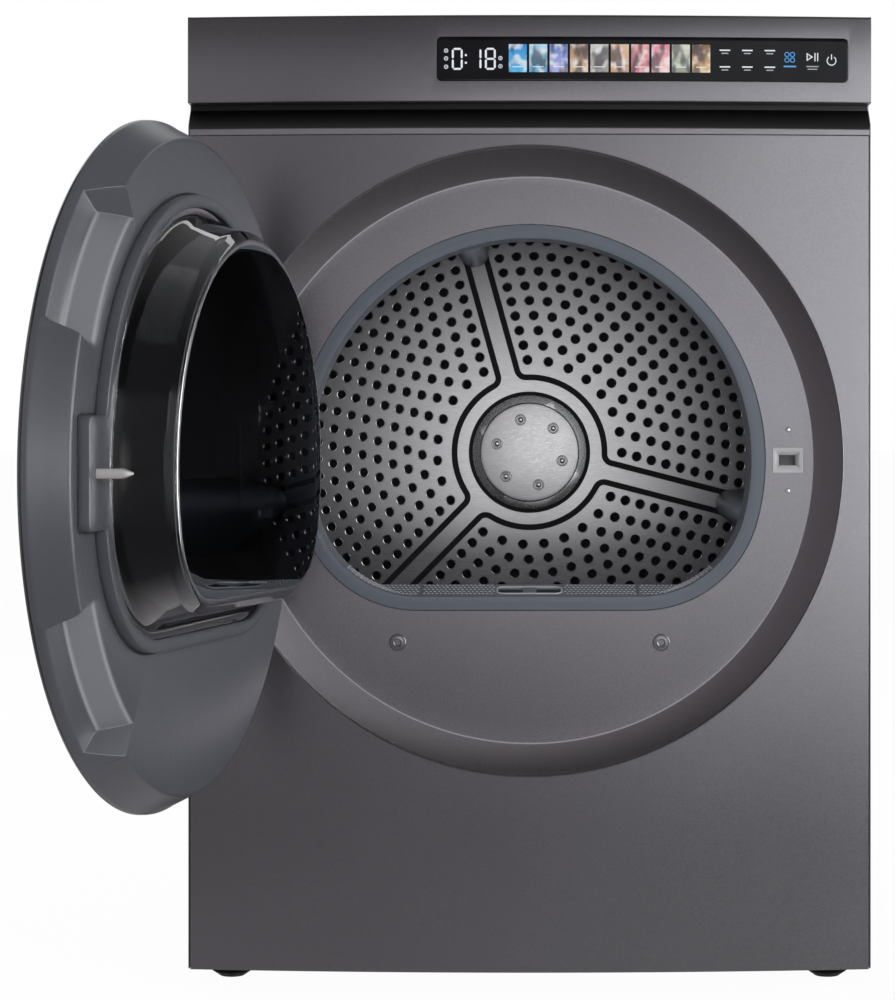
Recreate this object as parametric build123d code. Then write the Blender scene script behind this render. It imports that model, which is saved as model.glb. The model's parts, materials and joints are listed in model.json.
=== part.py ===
from build123d import *
import math
import os

# Sizes are millimetres, +Z is up, the front faces -Y and +X is to the right as seen from the front.
# The pieces are drawn about the middle of the cabinet's footprint on the floor, and stored about
# the middle of the floor area that the whole object covers with its door open.
# A depth is measured backwards from the front panel's side edges.
STORED_ORIGIN_X = -30.0
STORED_ORIGIN_Y = -256.0

# Cabinet
CABINET_WIDTH = 595.0
CABINET_DEPTH = 550.0
CABINET_HEIGHT = 845.0
FRONT_BOW = 16.5
SHEET = 1.0
WALL = 2.5
FIT_GAP = 0.3
SEAT_GAP = 0.05
SIDE_SETBACK = 4.0
SIDE_RETURN = 12.0
TOP_THICKNESS = 16.0
FRONT_INSET = 2.2

# Levelling feet
FOOT_HEIGHT = 16.0
FOOT_TOP_RADIUS = 18.5
FOOT_FLARE = 5.5
FOOT_PAD_RADIUS = 10.5
FOOT_STUD_RADIUS = 5.0
FOOT_BOSS_RADIUS = 13.0
FOOT_SIDE_OFFSET = 33.0
FOOT_FRONT_OFFSET = 59.0
FOOT_REAR_OFFSET = 50.0
BASE_FLOOR = 3.0
BASE_RIM = 30.0

# Control fascia, display and the finger groove below it
FASCIA_HEIGHT = 75.0
FASCIA_DEPTH = 45.0
GROOVE_HEIGHT = 28.2
GROOVE_DEPTH = 20.0
GROOVE_END_INSET = 1.6
STRIP_HEIGHT = 5.4
UNDERCUT_HEIGHT = 4.8
SEAM = 0.5
DISPLAY_LEFT = -80.0
DISPLAY_RIGHT = 277.0
DISPLAY_HEIGHT = 38.0
DISPLAY_DROP = 19.2
DISPLAY_CORNER = 4.0
DISPLAY_THICKNESS = 2.0
DISPLAY_LEDGE = 3.0
BOARD_THICKNESS = 1.6

# Round recess round the door opening
RING_HEIGHT = 459.0
RING_RADIUS = 273.0
RECESS_RADIUS = 247.7
RECESS_DEPTH = 7.0

# D-shaped opening, its bezel and the lint filter under its flat bottom
OPENING_RADIUS = 193.5
OPENING_FLAT = 118.7
OPENING_CORNER = 92.0
BEZEL_FACE = 12.2
BEZEL_LIP = 10.0
BULKHEAD_DEPTH = 60.0
BULKHEAD_SHEET = 2.0
FILTER_END_MARGIN = 2.9
FILTER_FRONT = 13.3
FILTER_REAR = 56.7
FILTER_RISE = 7.0
FILTER_LENGTH = 140.0
FILTER_RAIL = 8.0
FILTER_THICKNESS = 10.0
MESH_THICKNESS = 0.6
GRIP_HALF_WIDTH = 27.0
GRIP_MARGIN = 5.0
GRIP_TAB_HALF = 6.0
GRIP_SINK = 14.0

# Drum, its lifters and its perforated back
DRUM_RADIUS = 281.0
REAR_SPACE = 105.0
DRUM_FRONT = 74.0
NECK_STEP = 36.0
NECK_LENGTH = 8.0
COLLAR_STEP = 43.0
COLLAR_LENGTH = 22.0
SEAL_WIDTH = 12.0
SPOKE_ANGLE = 105.5
SPOKE_COUNT = 3
HOLE_RINGS = 9
HOLE_RADIUS = 4.6
FIRST_RING_RADIUS = 94.2
RING_PITCH = 15.16
FIRST_RING_HOLES = 8
RING_HOLE_STEP = 2
SPOKE_MARGIN = 23.1
HUB_RADIUS = 50.7
HUB_THICKNESS = 3.0
RIVET_CIRCLE = 34.3
RIVET_COUNT = 6
RIVET_RADIUS = 2.5
RIVET_HEAD_RADIUS = 4.2
RIVET_HEAD = 1.2
LIFTER_HEIGHT = 84.0
LIFTER_BASE = 84.0
LIFTER_CREST_RADIUS = 14.0
LIFTER_FRONT_GAP = 16.0
LIFTER_BACK_GAP = 4.0
SHAFT_RADIUS = 10.0
SHAFT_FLANGE_RADIUS = 58.0
SHAFT_FLANGE = 4.0
SHAFT_LENGTH = 62.0

# Rear air chamber and bearing
CHAMBER_GAP = 10.0
CHAMBER_STEP = 31.0
CHAMBER_DEPTH = 62.0
REAR_SEAL_WIDTH = 14.0
BEARING_RADIUS = 17.0
BEARING_LENGTH = 20.0
BOSS_WALL = 7.0

# Drum rollers, motor, belt and fan
ROLLER_RADIUS = 30.0
ROLLER_WIDTH = 16.0
ROLLER_ANGLE = 38.0
ROLLER_OFFSET = 14.0
AXLE_RADIUS = 5.0
AXLE_SHOULDER = 8.0
RUNNING_GAP = 0.05
MOTOR_X = 170.0
MOTOR_Z = 110.0
MOTOR_RADIUS = 58.0
MOTOR_LENGTH = 130.0
MOTOR_START = 250.0
MOTOR_SHAFT_RADIUS = 8.0
PULLEY_RADIUS = 12.0
PULLEY_WIDTH = 20.0
BELT_DEPTH = 181.0
BELT_WIDTH = 10.0
BELT_THICKNESS = 2.0
FAN_RADIUS = 80.0
FAN_DEPTH = 54.0
FAN_EYE_RADIUS = 45.0
IMPELLER_RADIUS = 70.0
IMPELLER_HUB = 16.0
BLADE_COUNT = 16
BLADE_THICKNESS = 2.0
CHUTE_LEFT = -64.0
CHUTE_RIGHT = 24.0

# Heat pump in the base
EXCHANGER_WIDTH = 150.0
EXCHANGER_HEIGHT = 143.0
EXCHANGER_SIDE_GAP = 24.0
EVAPORATOR_START = 104.0
EVAPORATOR_LENGTH = 86.0
CONDENSER_START = 205.0
CONDENSER_LENGTH = 95.0
END_PLATE = 3.0
COMPRESSOR_RADIUS = 52.0
COMPRESSOR_HEIGHT = 135.0
COMPRESSOR_SIDE_GAP = 80.0
COMPRESSOR_REAR_GAP = 160.0
MOUNT_HEIGHT = 38.0
MOUNT_RADIUS = 9.0
MOUNT_COUNT = 3
PIPE_RADIUS = 4.0
PIPE_BEND = 14.0
PIPE_RISE = 42.0
PIPE_SPACING = 25.0
PUMP_X = -60.0
PUMP_WIDTH = 60.0
PUMP_LENGTH = 70.0
PUMP_HEIGHT = 56.0
PUMP_START = 330.0
PUMP_MOTOR_RADIUS = 22.0
PUMP_MOTOR_HEIGHT = 35.0
DRAIN_RADIUS = 9.0
DRAIN_BORE = 6.5
DRAIN_REACH = 14.0
INLET_X = 235.0
INLET_WIDTH = 40.0
INLET_HEIGHT = 30.0
INLET_REACH = 6.0
BOARD_CASE_WIDTH = 140.0
BOARD_CASE_LENGTH = 150.0
BOARD_CASE_HEIGHT = 30.0
BOARD_CASE_REAR_GAP = 110.0

# Door: hinge, skin, liner, bowl and strike
DOOR_RADIUS = 270.4
DOOR_OPEN_ANGLE = 103.1
HINGE_REACH = 236.4
HINGE_DEPTH = -32.0
HINGE_PIN_RADIUS = 2.6
HINGE_EYE_RADIUS = 4.6
HINGE_SPREAD = 45.0
LEAF_LENGTH = 50.0
ARM_WIDTH = 6.0
ARM_HEIGHT = 8.0
ARM_SHIFT = 17.0
ARM_BEND = 27.0
SKIN_CROWN = 16.0
SKIN_BAND = 6.5
SKIN_WALL = 2.5
RIM_BACK = -31.5
LINER_BACK = -3.6
LINER_TAPER = 13.9
LAND_BACK = 5.0
LAND_MARGIN = 18.5
LAND_TAB_MARGIN = 15.5
LAND_TAB_HALF = 41.0
BOWL_HOLE_MARGIN = 7.0
BOWL_FLANGE_MARGIN = 13.0
BOWL_FLANGE = 3.0
BOWL_MOUTH_INSET = 1.0
BOWL_END_INSET = 12.5
BOWL_END_DEPTH = 47.0
BOWL_GLASS = 4.0
BOWL_EDGE_RADIUS = 12.0
GASKET_WIDTH = 3.0
POCKET_START = 23.5
POCKET_END = 54.8
POCKET_SKEW = 5.1
POCKET_LEDGE = 5.0
POCKET_LEDGE_INSET = 24.4
POCKET_LEDGE_RISE = 3.5
POCKET_BACK_INSET = 42.4
STRIKE_MARGIN = 32.0
STRIKE_WIDTH = 7.0
STRIKE_HEIGHT = 7.2
STRIKE_LENGTH = 27.0
STRIKE_POINT = 8.0
LATCH_FRAME_WIDTH = 26.2
LATCH_FRAME_HEIGHT = 21.6
LATCH_SLOT_WIDTH = 15.0
LATCH_SLOT_HEIGHT = 9.0
LATCH_DEPTH = 34.0
LATCH_FLANGE_HALF = 33.0
LATCH_SCREW_SPREAD = 26.6
CAP_RADIUS = 7.4
CAP_HEIGHT = 3.0
CAP_STEM_RADIUS = 4.0
CAP_SPREAD = 115.0
CAP_DROP = 159.0

# Screws and rear vents
SCREW_RADIUS = 2.0
SCREW_HEAD_RADIUS = 3.4
SCREW_HEAD = 1.8
SCREW_LENGTH = 12.0
SCREW_ROWS = 4
VENT_COUNT = 9
VENT_LENGTH = 90.0
VENT_WIDTH = 6.0
VENT_PITCH = 16.0

# Places worked out from the sizes above
FRONT = -CABINET_DEPTH / 2
HALF_WIDTH = CABINET_WIDTH / 2
INNER_HALF = HALF_WIDTH - SHEET - FIT_GAP
BASE_TOP = FOOT_HEIGHT + BASE_RIM
BASE_INSIDE = FOOT_HEIGHT + BASE_FLOOR
FASCIA_LOW = CABINET_HEIGHT - FASCIA_HEIGHT
GROOVE_LOW = FASCIA_LOW - GROOVE_HEIGHT
FRONT_TOP = GROOVE_LOW - SEAM
SIDE_TOP = CABINET_HEIGHT - TOP_THICKNESS - FIT_GAP
REAR_FACE = CABINET_DEPTH - SHEET - FIT_GAP
BOW_RADIUS = (HALF_WIDTH**2 + FRONT_BOW**2) / (2 * FRONT_BOW)
BOW_CENTRE = FRONT - FRONT_BOW + BOW_RADIUS
BOW_HALF_ANGLE = math.degrees(math.asin(HALF_WIDTH / BOW_RADIUS)) + 1.0
RING_EDGE = BOW_RADIUS - FRONT_BOW - math.sqrt(BOW_RADIUS**2 - RING_RADIUS**2)
DRUM_BACK = CABINET_DEPTH - REAR_SPACE
DRUM_INSIDE = DRUM_RADIUS - SHEET
NECK_RADIUS = DRUM_RADIUS - NECK_STEP
COLLAR_RADIUS = DRUM_RADIUS - COLLAR_STEP
CHAMBER_RADIUS = DRUM_RADIUS - CHAMBER_STEP
CHAMBER_FRONT = DRUM_BACK + SHEET + CHAMBER_GAP
CHAMBER_END = CHAMBER_FRONT + CHAMBER_DEPTH
SHAFT_END = DRUM_BACK + SHEET + SHAFT_FLANGE + SHAFT_LENGTH
BULKHEAD_BACK = BULKHEAD_DEPTH + BULKHEAD_SHEET
FAN_FRONT = CHAMBER_FRONT + BULKHEAD_SHEET + FIT_GAP
FAN_BACK = FAN_FRONT + FAN_DEPTH
FAN_TOP = MOTOR_Z + FAN_RADIUS
ROLLER_START = DRUM_FRONT + ROLLER_OFFSET
ROLLER_REACH = DRUM_RADIUS + ROLLER_RADIUS + FIT_GAP
ROLLER_X = ROLLER_REACH * math.sin(math.radians(ROLLER_ANGLE))
ROLLER_Z = RING_HEIGHT - ROLLER_REACH * math.cos(math.radians(ROLLER_ANGLE))
EXCHANGER_LEFT = EXCHANGER_SIDE_GAP - HALF_WIDTH
EXCHANGER_TOP = BASE_INSIDE + END_PLATE + EXCHANGER_HEIGHT
COMPRESSOR_X = COMPRESSOR_SIDE_GAP - HALF_WIDTH
COMPRESSOR_DEPTH = CABINET_DEPTH - COMPRESSOR_REAR_GAP
COMPRESSOR_FOOT = BASE_INSIDE + MOUNT_HEIGHT
COMPRESSOR_TOP = COMPRESSOR_FOOT + COMPRESSOR_HEIGHT
DRAIN_Z = BASE_TOP + 2 * DRAIN_RADIUS
INLET_Z = BASE_TOP + INLET_HEIGHT
FILTER_FLOOR = RING_HEIGHT - OPENING_FLAT
SILL_HALF = math.sqrt((OPENING_RADIUS - OPENING_CORNER) ** 2 - (OPENING_FLAT - OPENING_CORNER) ** 2)
FILTER_HALF_WIDTH = SILL_HALF - FILTER_END_MARGIN
STRIKE_X = OPENING_RADIUS + STRIKE_MARGIN
LINER_RADIUS = DOOR_RADIUS - LINER_TAPER
HINGE_AXIS = Axis((-HINGE_REACH, FRONT + HINGE_DEPTH, 0), (0, 0, 1))
RING_VIEW = Plane((0, FRONT, RING_HEIGHT), x_dir=(1, 0, 0), z_dir=(0, -1, 0)).location
FASCIA_MIDDLE = CABINET_HEIGHT - DISPLAY_DROP - DISPLAY_HEIGHT / 2


def block(x, depth, z):
    """Box between pairs of limits: sideways, backwards from the front edge, and up."""
    size = (x[1] - x[0], depth[1] - depth[0], z[1] - z[0])
    middle = ((x[0] + x[1]) / 2, FRONT + (depth[0] + depth[1]) / 2, (z[0] + z[1]) / 2)
    return Pos(*middle) * Box(*size)


def rod(x, z, radius, near, far):
    """Round bar running backwards from one depth to another."""
    bar = Cylinder(radius, far - near, align=(Align.CENTER, Align.CENTER, Align.MIN))
    return Pos(x, FRONT + far, z) * Rot(90, 0, 0) * bar


def upright(x, depth, radius, low, high):
    """Round bar standing on end."""
    bar = Cylinder(radius, high - low, align=(Align.CENTER, Align.CENTER, Align.MIN))
    return Pos(x, FRONT + depth, low) * bar


def front_prism(face, near, far):
    """Solid between two depths, its outline drawn about the ring's centre as seen from the front."""
    return RING_VIEW * Pos(0, 0, -far) * extrude(face, far - near, dir=(0, 0, 1))


def ring_profile(*points):
    """Closed outline of (radius, depth) points, ready to turn about the ring's axis."""
    return Plane.XZ * make_face(Polyline(*[(radius, -depth) for radius, depth in points], close=True))


def turned(*points):
    """Round solid about the ring's axis from (radius, depth) points."""
    return RING_VIEW * revolve(ring_profile(*points), Axis.Z)


def bowed(points, half_width):
    """Solid that follows the front's bow, from (inset, height) points, cut square at its ends."""
    outline = Polyline(*[(BOW_CENTRE - BOW_RADIUS + inset, z) for inset, z in points], close=True)
    axis = Axis((0, BOW_CENTRE, 0), (0, 0, 1))
    start = (Plane.YZ * make_face(outline)).rotate(axis, -BOW_HALF_ANGLE)
    swept = revolve(start, axis, 2 * BOW_HALF_ANGLE)
    ends = (-half_width, half_width)
    return swept & block(ends, (-2 * FRONT_BOW, CABINET_DEPTH), (0, CABINET_HEIGHT))


def d_outline(growth):
    """The opening's D shape grown evenly: a round top, a flat bottom and two round corners."""
    radius = OPENING_RADIUS + growth
    flat = OPENING_FLAT + growth
    corner = OPENING_CORNER + growth
    reach = math.sqrt((radius - corner) ** 2 - (flat - corner) ** 2)
    centre = Vector(reach, corner - flat)
    join = centre.normalized() * radius
    middle = centre + (centre.normalized() + Vector(0, -1)).normalized() * corner
    top = ThreePointArc((join.X, join.Y), (0, radius), (-join.X, join.Y))
    left = ThreePointArc((-join.X, join.Y), (-middle.X, middle.Y), (-reach, -flat))
    bottom = Line((-reach, -flat), (reach, -flat))
    right = ThreePointArc((reach, -flat), (middle.X, middle.Y), (join.X, join.Y))
    return make_face([top, left, bottom, right])


def land_outline(growth):
    """Outline of the door's raised land: the D with a tab towards the strike."""
    half = LAND_TAB_HALF + growth
    reach = STRIKE_X + LAND_TAB_MARGIN + growth
    tab = Pos(reach / 2, 0) * Rectangle(reach, 2 * half)
    return d_outline(LAND_MARGIN + growth) + tab


def on_circle(radius, degrees):
    """Sideways and upward place on a circle, angle counted anticlockwise from the right."""
    turn = math.radians(degrees)
    return radius * math.cos(turn), radius * math.sin(turn)


def opened(shape):
    """Swings a door piece, drawn shut, out to the photographed angle."""
    return shape.rotate(HINGE_AXIS, -DOOR_OPEN_ANGLE)


def foot_places():
    """Sideways place and depth of each levelling foot, by name."""
    side = HALF_WIDTH - FOOT_SIDE_OFFSET
    rear = CABINET_DEPTH - FOOT_REAR_OFFSET
    return {
        "foot_front_left": (-side, FOOT_FRONT_OFFSET),
        "foot_front_right": (side, FOOT_FRONT_OFFSET),
        "foot_rear_left": (-side, rear),
        "foot_rear_right": (side, rear),
    }


def rear_screw_places():
    """Places of the screws that hold the rear panel to the side panels' returns."""
    x = HALF_WIDTH - SIDE_RETURN / 2
    span = SIDE_TOP - BASE_TOP
    heights = [BASE_TOP + span * (row + 0.5) / SCREW_ROWS for row in range(SCREW_ROWS)]
    return [(side * x, z) for side in (-1, 1) for z in heights]


def latch_screw_places():
    """Places of the two screws beside the latch socket."""
    return [(STRIKE_X, RING_HEIGHT + side * LATCH_SCREW_SPREAD) for side in (-1, 1)]


def cap_places():
    """Places of the two round caps below the opening."""
    return [(side * CAP_SPREAD, RING_HEIGHT - CAP_DROP) for side in (-1, 1)]


def base_pan():
    """Moulded tray that everything stands in, with a boss for each foot."""
    edge = (SIDE_SETBACK + FIT_GAP, REAR_FACE - SHEET - FIT_GAP)
    pan = block((-INNER_HALF, INNER_HALF), edge, (FOOT_HEIGHT, BASE_TOP))
    inner = (edge[0] + BASE_FLOOR, edge[1] - BASE_FLOOR)
    half = INNER_HALF - BASE_FLOOR
    pan -= block((-half, half), inner, (BASE_INSIDE, BASE_TOP + BASE_FLOOR))
    for x, depth in foot_places().values():
        pan += upright(x, depth, FOOT_BOSS_RADIUS, FOOT_HEIGHT, BASE_TOP)
    for x, depth in foot_places().values():
        pan -= upright(x, depth, FOOT_STUD_RADIUS + FIT_GAP, 0, BASE_TOP + BASE_FLOOR)
    return pan


def foot(x, depth):
    """Flared plastic foot on a threaded stud."""
    top = FOOT_HEIGHT - FIT_GAP
    base = (Align.CENTER, Align.CENTER, Align.MIN)
    pad = Pos(x, FRONT + depth, 0) * Cone(FOOT_PAD_RADIUS, FOOT_TOP_RADIUS, FOOT_FLARE, align=base)
    pad += upright(x, depth, FOOT_TOP_RADIUS, FOOT_FLARE, top)
    return pad + upright(x, depth, FOOT_STUD_RADIUS, top, BASE_TOP - BASE_FLOOR)


def side_panel(side):
    """Folded steel side, notched in front of the finger groove, with a return at the back for the screws."""
    outer = sorted((side * (HALF_WIDTH - SHEET), side * HALF_WIDTH))
    fold = sorted((side * (HALF_WIDTH - SIDE_RETURN), side * HALF_WIDTH))
    height = (FOOT_HEIGHT, SIDE_TOP)
    panel = block(outer, (SIDE_SETBACK, CABINET_DEPTH), height)
    panel += block(fold, (CABINET_DEPTH - SHEET, CABINET_DEPTH), height)
    for x, z in rear_screw_places():
        panel -= rod(x, z, SCREW_RADIUS + SEAT_GAP, REAR_FACE - SHEET, CABINET_DEPTH + SHEET)
    strip = GROOVE_LOW + STRIP_HEIGHT
    slope = FASCIA_LOW - UNDERCUT_HEIGHT
    notch = [(-FRONT_BOW, strip), (0, strip), (GROOVE_DEPTH, slope), (GROOVE_DEPTH, FASCIA_LOW), (-FRONT_BOW, FASCIA_LOW)]
    return panel - bowed(notch, HALF_WIDTH + SHEET)


def rear_panel():
    """Steel back sheet with vents and the two outlets."""
    height = (BASE_TOP + FIT_GAP, SIDE_TOP)
    panel = block((-INNER_HALF, INNER_HALF), (REAR_FACE - SHEET, REAR_FACE), height)
    cut = (REAR_FACE - 2 * SHEET, REAR_FACE + SHEET)
    vent_low = RING_HEIGHT - VENT_PITCH * (VENT_COUNT - 1) / 2
    for side in (-1, 1):
        middle = side * HALF_WIDTH / 2
        for row in range(VENT_COUNT):
            z = vent_low + row * VENT_PITCH
            span = (middle - VENT_LENGTH / 2, middle + VENT_LENGTH / 2)
            panel -= block(span, cut, (z - VENT_WIDTH / 2, z + VENT_WIDTH / 2))
    for x, z in rear_screw_places():
        panel -= rod(x, z, SCREW_RADIUS + SEAT_GAP, *cut)
    panel -= rod(PUMP_X, DRAIN_Z, DRAIN_RADIUS + FIT_GAP, *cut)
    half = INLET_WIDTH / 2 + FIT_GAP
    tall = INLET_HEIGHT / 2 + FIT_GAP
    return panel - block((INLET_X - half, INLET_X + half), cut, (INLET_Z - tall, INLET_Z + tall))


def top_panel():
    """Laminated board that lies on the side panels behind the fascia."""
    depth = (FASCIA_DEPTH + FIT_GAP, CABINET_DEPTH)
    return block((-HALF_WIDTH, HALF_WIDTH), depth, (CABINET_HEIGHT - TOP_THICKNESS, CABINET_HEIGHT))


def front_panel():
    """Bowed steel front with the door recess pressed in and the opening cut out."""
    half = HALF_WIDTH - FRONT_INSET
    low = FOOT_HEIGHT
    sheet = bowed([(0, low), (0, FRONT_TOP), (SHEET, FRONT_TOP), (SHEET, low)], half)
    sheet -= front_prism(Circle(RING_RADIUS), -2 * FRONT_BOW, CABINET_DEPTH)
    behind = bowed([(0, low), (0, FRONT_TOP), (2 * FRONT_BOW + SHEET + RECESS_DEPTH, FRONT_TOP),
                    (2 * FRONT_BOW + SHEET + RECESS_DEPTH, low)], half)
    outer = RING_RADIUS + SHEET
    pressing = turned((RING_RADIUS, -2 * FRONT_BOW), (RING_RADIUS, RING_EDGE), (RECESS_RADIUS, RECESS_DEPTH),
                      (0, RECESS_DEPTH), (0, RECESS_DEPTH + SHEET), (RECESS_RADIUS, RECESS_DEPTH + SHEET),
                      (outer, RING_EDGE + SHEET), (outer, -2 * FRONT_BOW))
    panel = sheet + (pressing & behind)
    panel -= front_prism(d_outline(BEZEL_FACE + FIT_GAP), RECESS_DEPTH - SHEET, RECESS_DEPTH + 2 * SHEET)
    through = (RECESS_DEPTH - SHEET, RECESS_DEPTH + 2 * SHEET)
    latch = Rectangle(LATCH_FRAME_WIDTH + 2 * FIT_GAP, LATCH_FRAME_HEIGHT + 2 * FIT_GAP)
    panel -= front_prism(Pos(STRIKE_X, 0) * latch, *through)
    arm = Rectangle(ARM_WIDTH + 2, ARM_HEIGHT + 2)
    for side in (-1, 1):
        panel -= front_prism(Pos(ARM_SHIFT - HINGE_REACH, side * HINGE_SPREAD) * arm, *through)
    for x, z in latch_screw_places():
        panel -= rod(x, z, SCREW_RADIUS + SEAT_GAP, *through)
    for x, z in cap_places():
        panel -= rod(x, z, CAP_STEM_RADIUS + SEAT_GAP, *through)
    return panel


def display_outline(growth):
    """Rounded window shape of the display, as seen from the front about the ring's centre."""
    width = DISPLAY_RIGHT - DISPLAY_LEFT + 2 * growth
    window = RectangleRounded(width, DISPLAY_HEIGHT + 2 * growth, DISPLAY_CORNER + growth)
    return Pos((DISPLAY_LEFT + DISPLAY_RIGHT) / 2, FASCIA_MIDDLE - RING_HEIGHT) * window


def control_fascia():
    """Bowed moulding with a top and a bottom flange and a stepped window for the display."""
    low = FASCIA_LOW
    high = CABINET_HEIGHT
    face = bowed([(0, low), (0, high), (WALL, high), (WALL, low)], HALF_WIDTH)
    top = bowed([(WALL, high - WALL), (WALL, high), (FASCIA_DEPTH + FRONT_BOW, high),
                 (FASCIA_DEPTH + FRONT_BOW, high - WALL)], HALF_WIDTH)
    foot_edge = bowed([(WALL, low), (WALL, low + WALL), (GROOVE_DEPTH, low + WALL), (GROOVE_DEPTH, low)],
                      INNER_HALF - FIT_GAP)
    fascia = face + top + foot_edge
    for side in (-1, 1):
        ends = sorted((side * (HALF_WIDTH - WALL), side * HALF_WIDTH))
        fascia += block(ends, (0, FASCIA_DEPTH), (CABINET_HEIGHT - TOP_THICKNESS, high))
    fascia &= block((-HALF_WIDTH, HALF_WIDTH), (-2 * FRONT_BOW, FASCIA_DEPTH), (low, high))
    seat = bowed([(-FRONT_BOW, low), (-FRONT_BOW, high), (DISPLAY_THICKNESS, high),
                  (DISPLAY_THICKNESS, low)], HALF_WIDTH)
    fascia -= seat & front_prism(display_outline(FIT_GAP), -2 * FRONT_BOW, FASCIA_DEPTH)
    return fascia - front_prism(display_outline(-DISPLAY_LEDGE), -2 * FRONT_BOW, FASCIA_DEPTH / 2)


def fascia_groove():
    """Dark moulding below the fascia: an undercut, a slope and a bright lower strip."""
    low = GROOVE_LOW
    strip = low + STRIP_HEIGHT
    slope = FASCIA_LOW - UNDERCUT_HEIGHT
    top = FASCIA_LOW - FIT_GAP
    back = GROOVE_DEPTH + WALL
    points = [(0, low), (0, strip), (GROOVE_DEPTH, slope), (GROOVE_DEPTH, top), (back, top),
              (back, slope - WALL), (WALL, strip - WALL), (WALL, low)]
    return bowed(points, HALF_WIDTH - GROOVE_END_INSET)


def display_glass():
    """Black touch glass set flush in the fascia's window."""
    low = FASCIA_LOW
    high = CABINET_HEIGHT
    slab = bowed([(0, low), (0, high), (DISPLAY_THICKNESS, high), (DISPLAY_THICKNESS, low)], HALF_WIDTH)
    return slab & front_prism(display_outline(0), -2 * FRONT_BOW, FASCIA_DEPTH)


def display_board():
    """Circuit board with the display's lamps, behind the glass."""
    half = DISPLAY_HEIGHT / 2 - DISPLAY_LEDGE
    near = WALL + FIT_GAP
    x = (DISPLAY_LEFT + DISPLAY_LEDGE, DISPLAY_RIGHT - DISPLAY_LEDGE)
    return block(x, (near, near + BOARD_THICKNESS), (FASCIA_MIDDLE - half, FASCIA_MIDDLE + half))


def control_board():
    """Cased power board above the drum at the back."""
    rear = CABINET_DEPTH - BOARD_CASE_REAR_GAP
    x = (INNER_HALF - BOARD_CASE_WIDTH, INNER_HALF)
    z = (SIDE_TOP - BOARD_CASE_HEIGHT - FIT_GAP, SIDE_TOP - FIT_GAP)
    return block(x, (rear - BOARD_CASE_LENGTH, rear), z)


def opening_bezel():
    """Plastic D-shaped lining of the opening, from the front panel to the drum, with a sill that slopes up."""
    front = RECESS_DEPTH + FIT_GAP
    behind = RECESS_DEPTH + SHEET + FIT_GAP
    bezel = front_prism(d_outline(BEZEL_FACE), front, behind + BULKHEAD_SHEET)
    bezel += front_prism(d_outline(BEZEL_FACE + BEZEL_LIP), behind, behind + BULKHEAD_SHEET)
    bezel += front_prism(d_outline(WALL), front, BULKHEAD_BACK)
    end = BULKHEAD_BACK + SHEET
    low = FILTER_FLOOR - WALL
    high = FILTER_FLOOR + FILTER_RISE
    points = [(FILTER_FRONT, low), (FILTER_FRONT, FILTER_FLOOR), (FILTER_REAR, high), (end, high), (end, low)]
    side = Plane.YZ * make_face(Polyline(*[(FRONT + depth, z) for depth, z in points], close=True))
    sill = Pos(-OPENING_RADIUS, 0, 0) * extrude(side, 2 * OPENING_RADIUS, dir=(1, 0, 0))
    bezel -= front_prism(d_outline(0), 0, end) - sill
    half = FILTER_HALF_WIDTH + FIT_GAP
    slot = (FILTER_FRONT - FIT_GAP, FILTER_REAR + FIT_GAP)
    return bezel - block((-half, half), slot, (FILTER_FLOOR - 2 * WALL, FILTER_FLOOR + FILTER_RISE + WALL))


def front_bulkhead():
    """Inner wall behind the front panel, holed for the opening's lining and the roller axles."""
    height = (BASE_TOP + FIT_GAP, FASCIA_LOW - SHEET)
    wall = block((-INNER_HALF, INNER_HALF), (BULKHEAD_DEPTH, BULKHEAD_BACK), height)
    through = (BULKHEAD_DEPTH - SHEET, BULKHEAD_BACK + SHEET)
    wall -= front_prism(d_outline(WALL + FIT_GAP), *through)
    for side in (-1, 1):
        wall -= rod(side * ROLLER_X, ROLLER_Z, AXLE_RADIUS + SEAT_GAP, *through)
    return wall


def seal_collar():
    """Short steel collar welded to the back of the front bulkhead, that carries the front seal."""
    inner = COLLAR_RADIUS - BULKHEAD_SHEET
    end = BULKHEAD_BACK + COLLAR_LENGTH
    near = BULKHEAD_BACK
    return turned((inner, near), (COLLAR_RADIUS, near), (COLLAR_RADIUS, end), (inner, end))


def front_seal():
    """Felt band between the bulkhead's collar and the drum's neck."""
    inner = COLLAR_RADIUS + SEAT_GAP
    outer = NECK_RADIUS - FIT_GAP
    near = DRUM_FRONT - NECK_LENGTH
    return turned((inner, near), (outer, near), (outer, near + SEAL_WIDTH), (inner, near + SEAL_WIDTH))


def rear_seal():
    """Felt band between the drum's back and the rear air chamber."""
    inner = CHAMBER_RADIUS + BULKHEAD_SHEET
    outer = inner + REAR_SEAL_WIDTH
    near = DRUM_BACK + SHEET + FIT_GAP
    return turned((inner, near), (outer, near), (outer, CHAMBER_FRONT), (inner, CHAMBER_FRONT))


def filter_housing():
    """Channel under the opening that holds the lint filter and leads the air down."""
    half = FILTER_HALF_WIDTH + 2 * WALL
    depth = (FILTER_FRONT - WALL, FILTER_REAR + WALL)
    top = FILTER_FLOOR - 2 * WALL
    low = top - FILTER_LENGTH - 4 * WALL
    box = block((-half, half), depth, (low, top))
    return box - block((WALL - half, half - WALL), (FILTER_FRONT, FILTER_REAR), (low - WALL, top + WALL))


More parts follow.
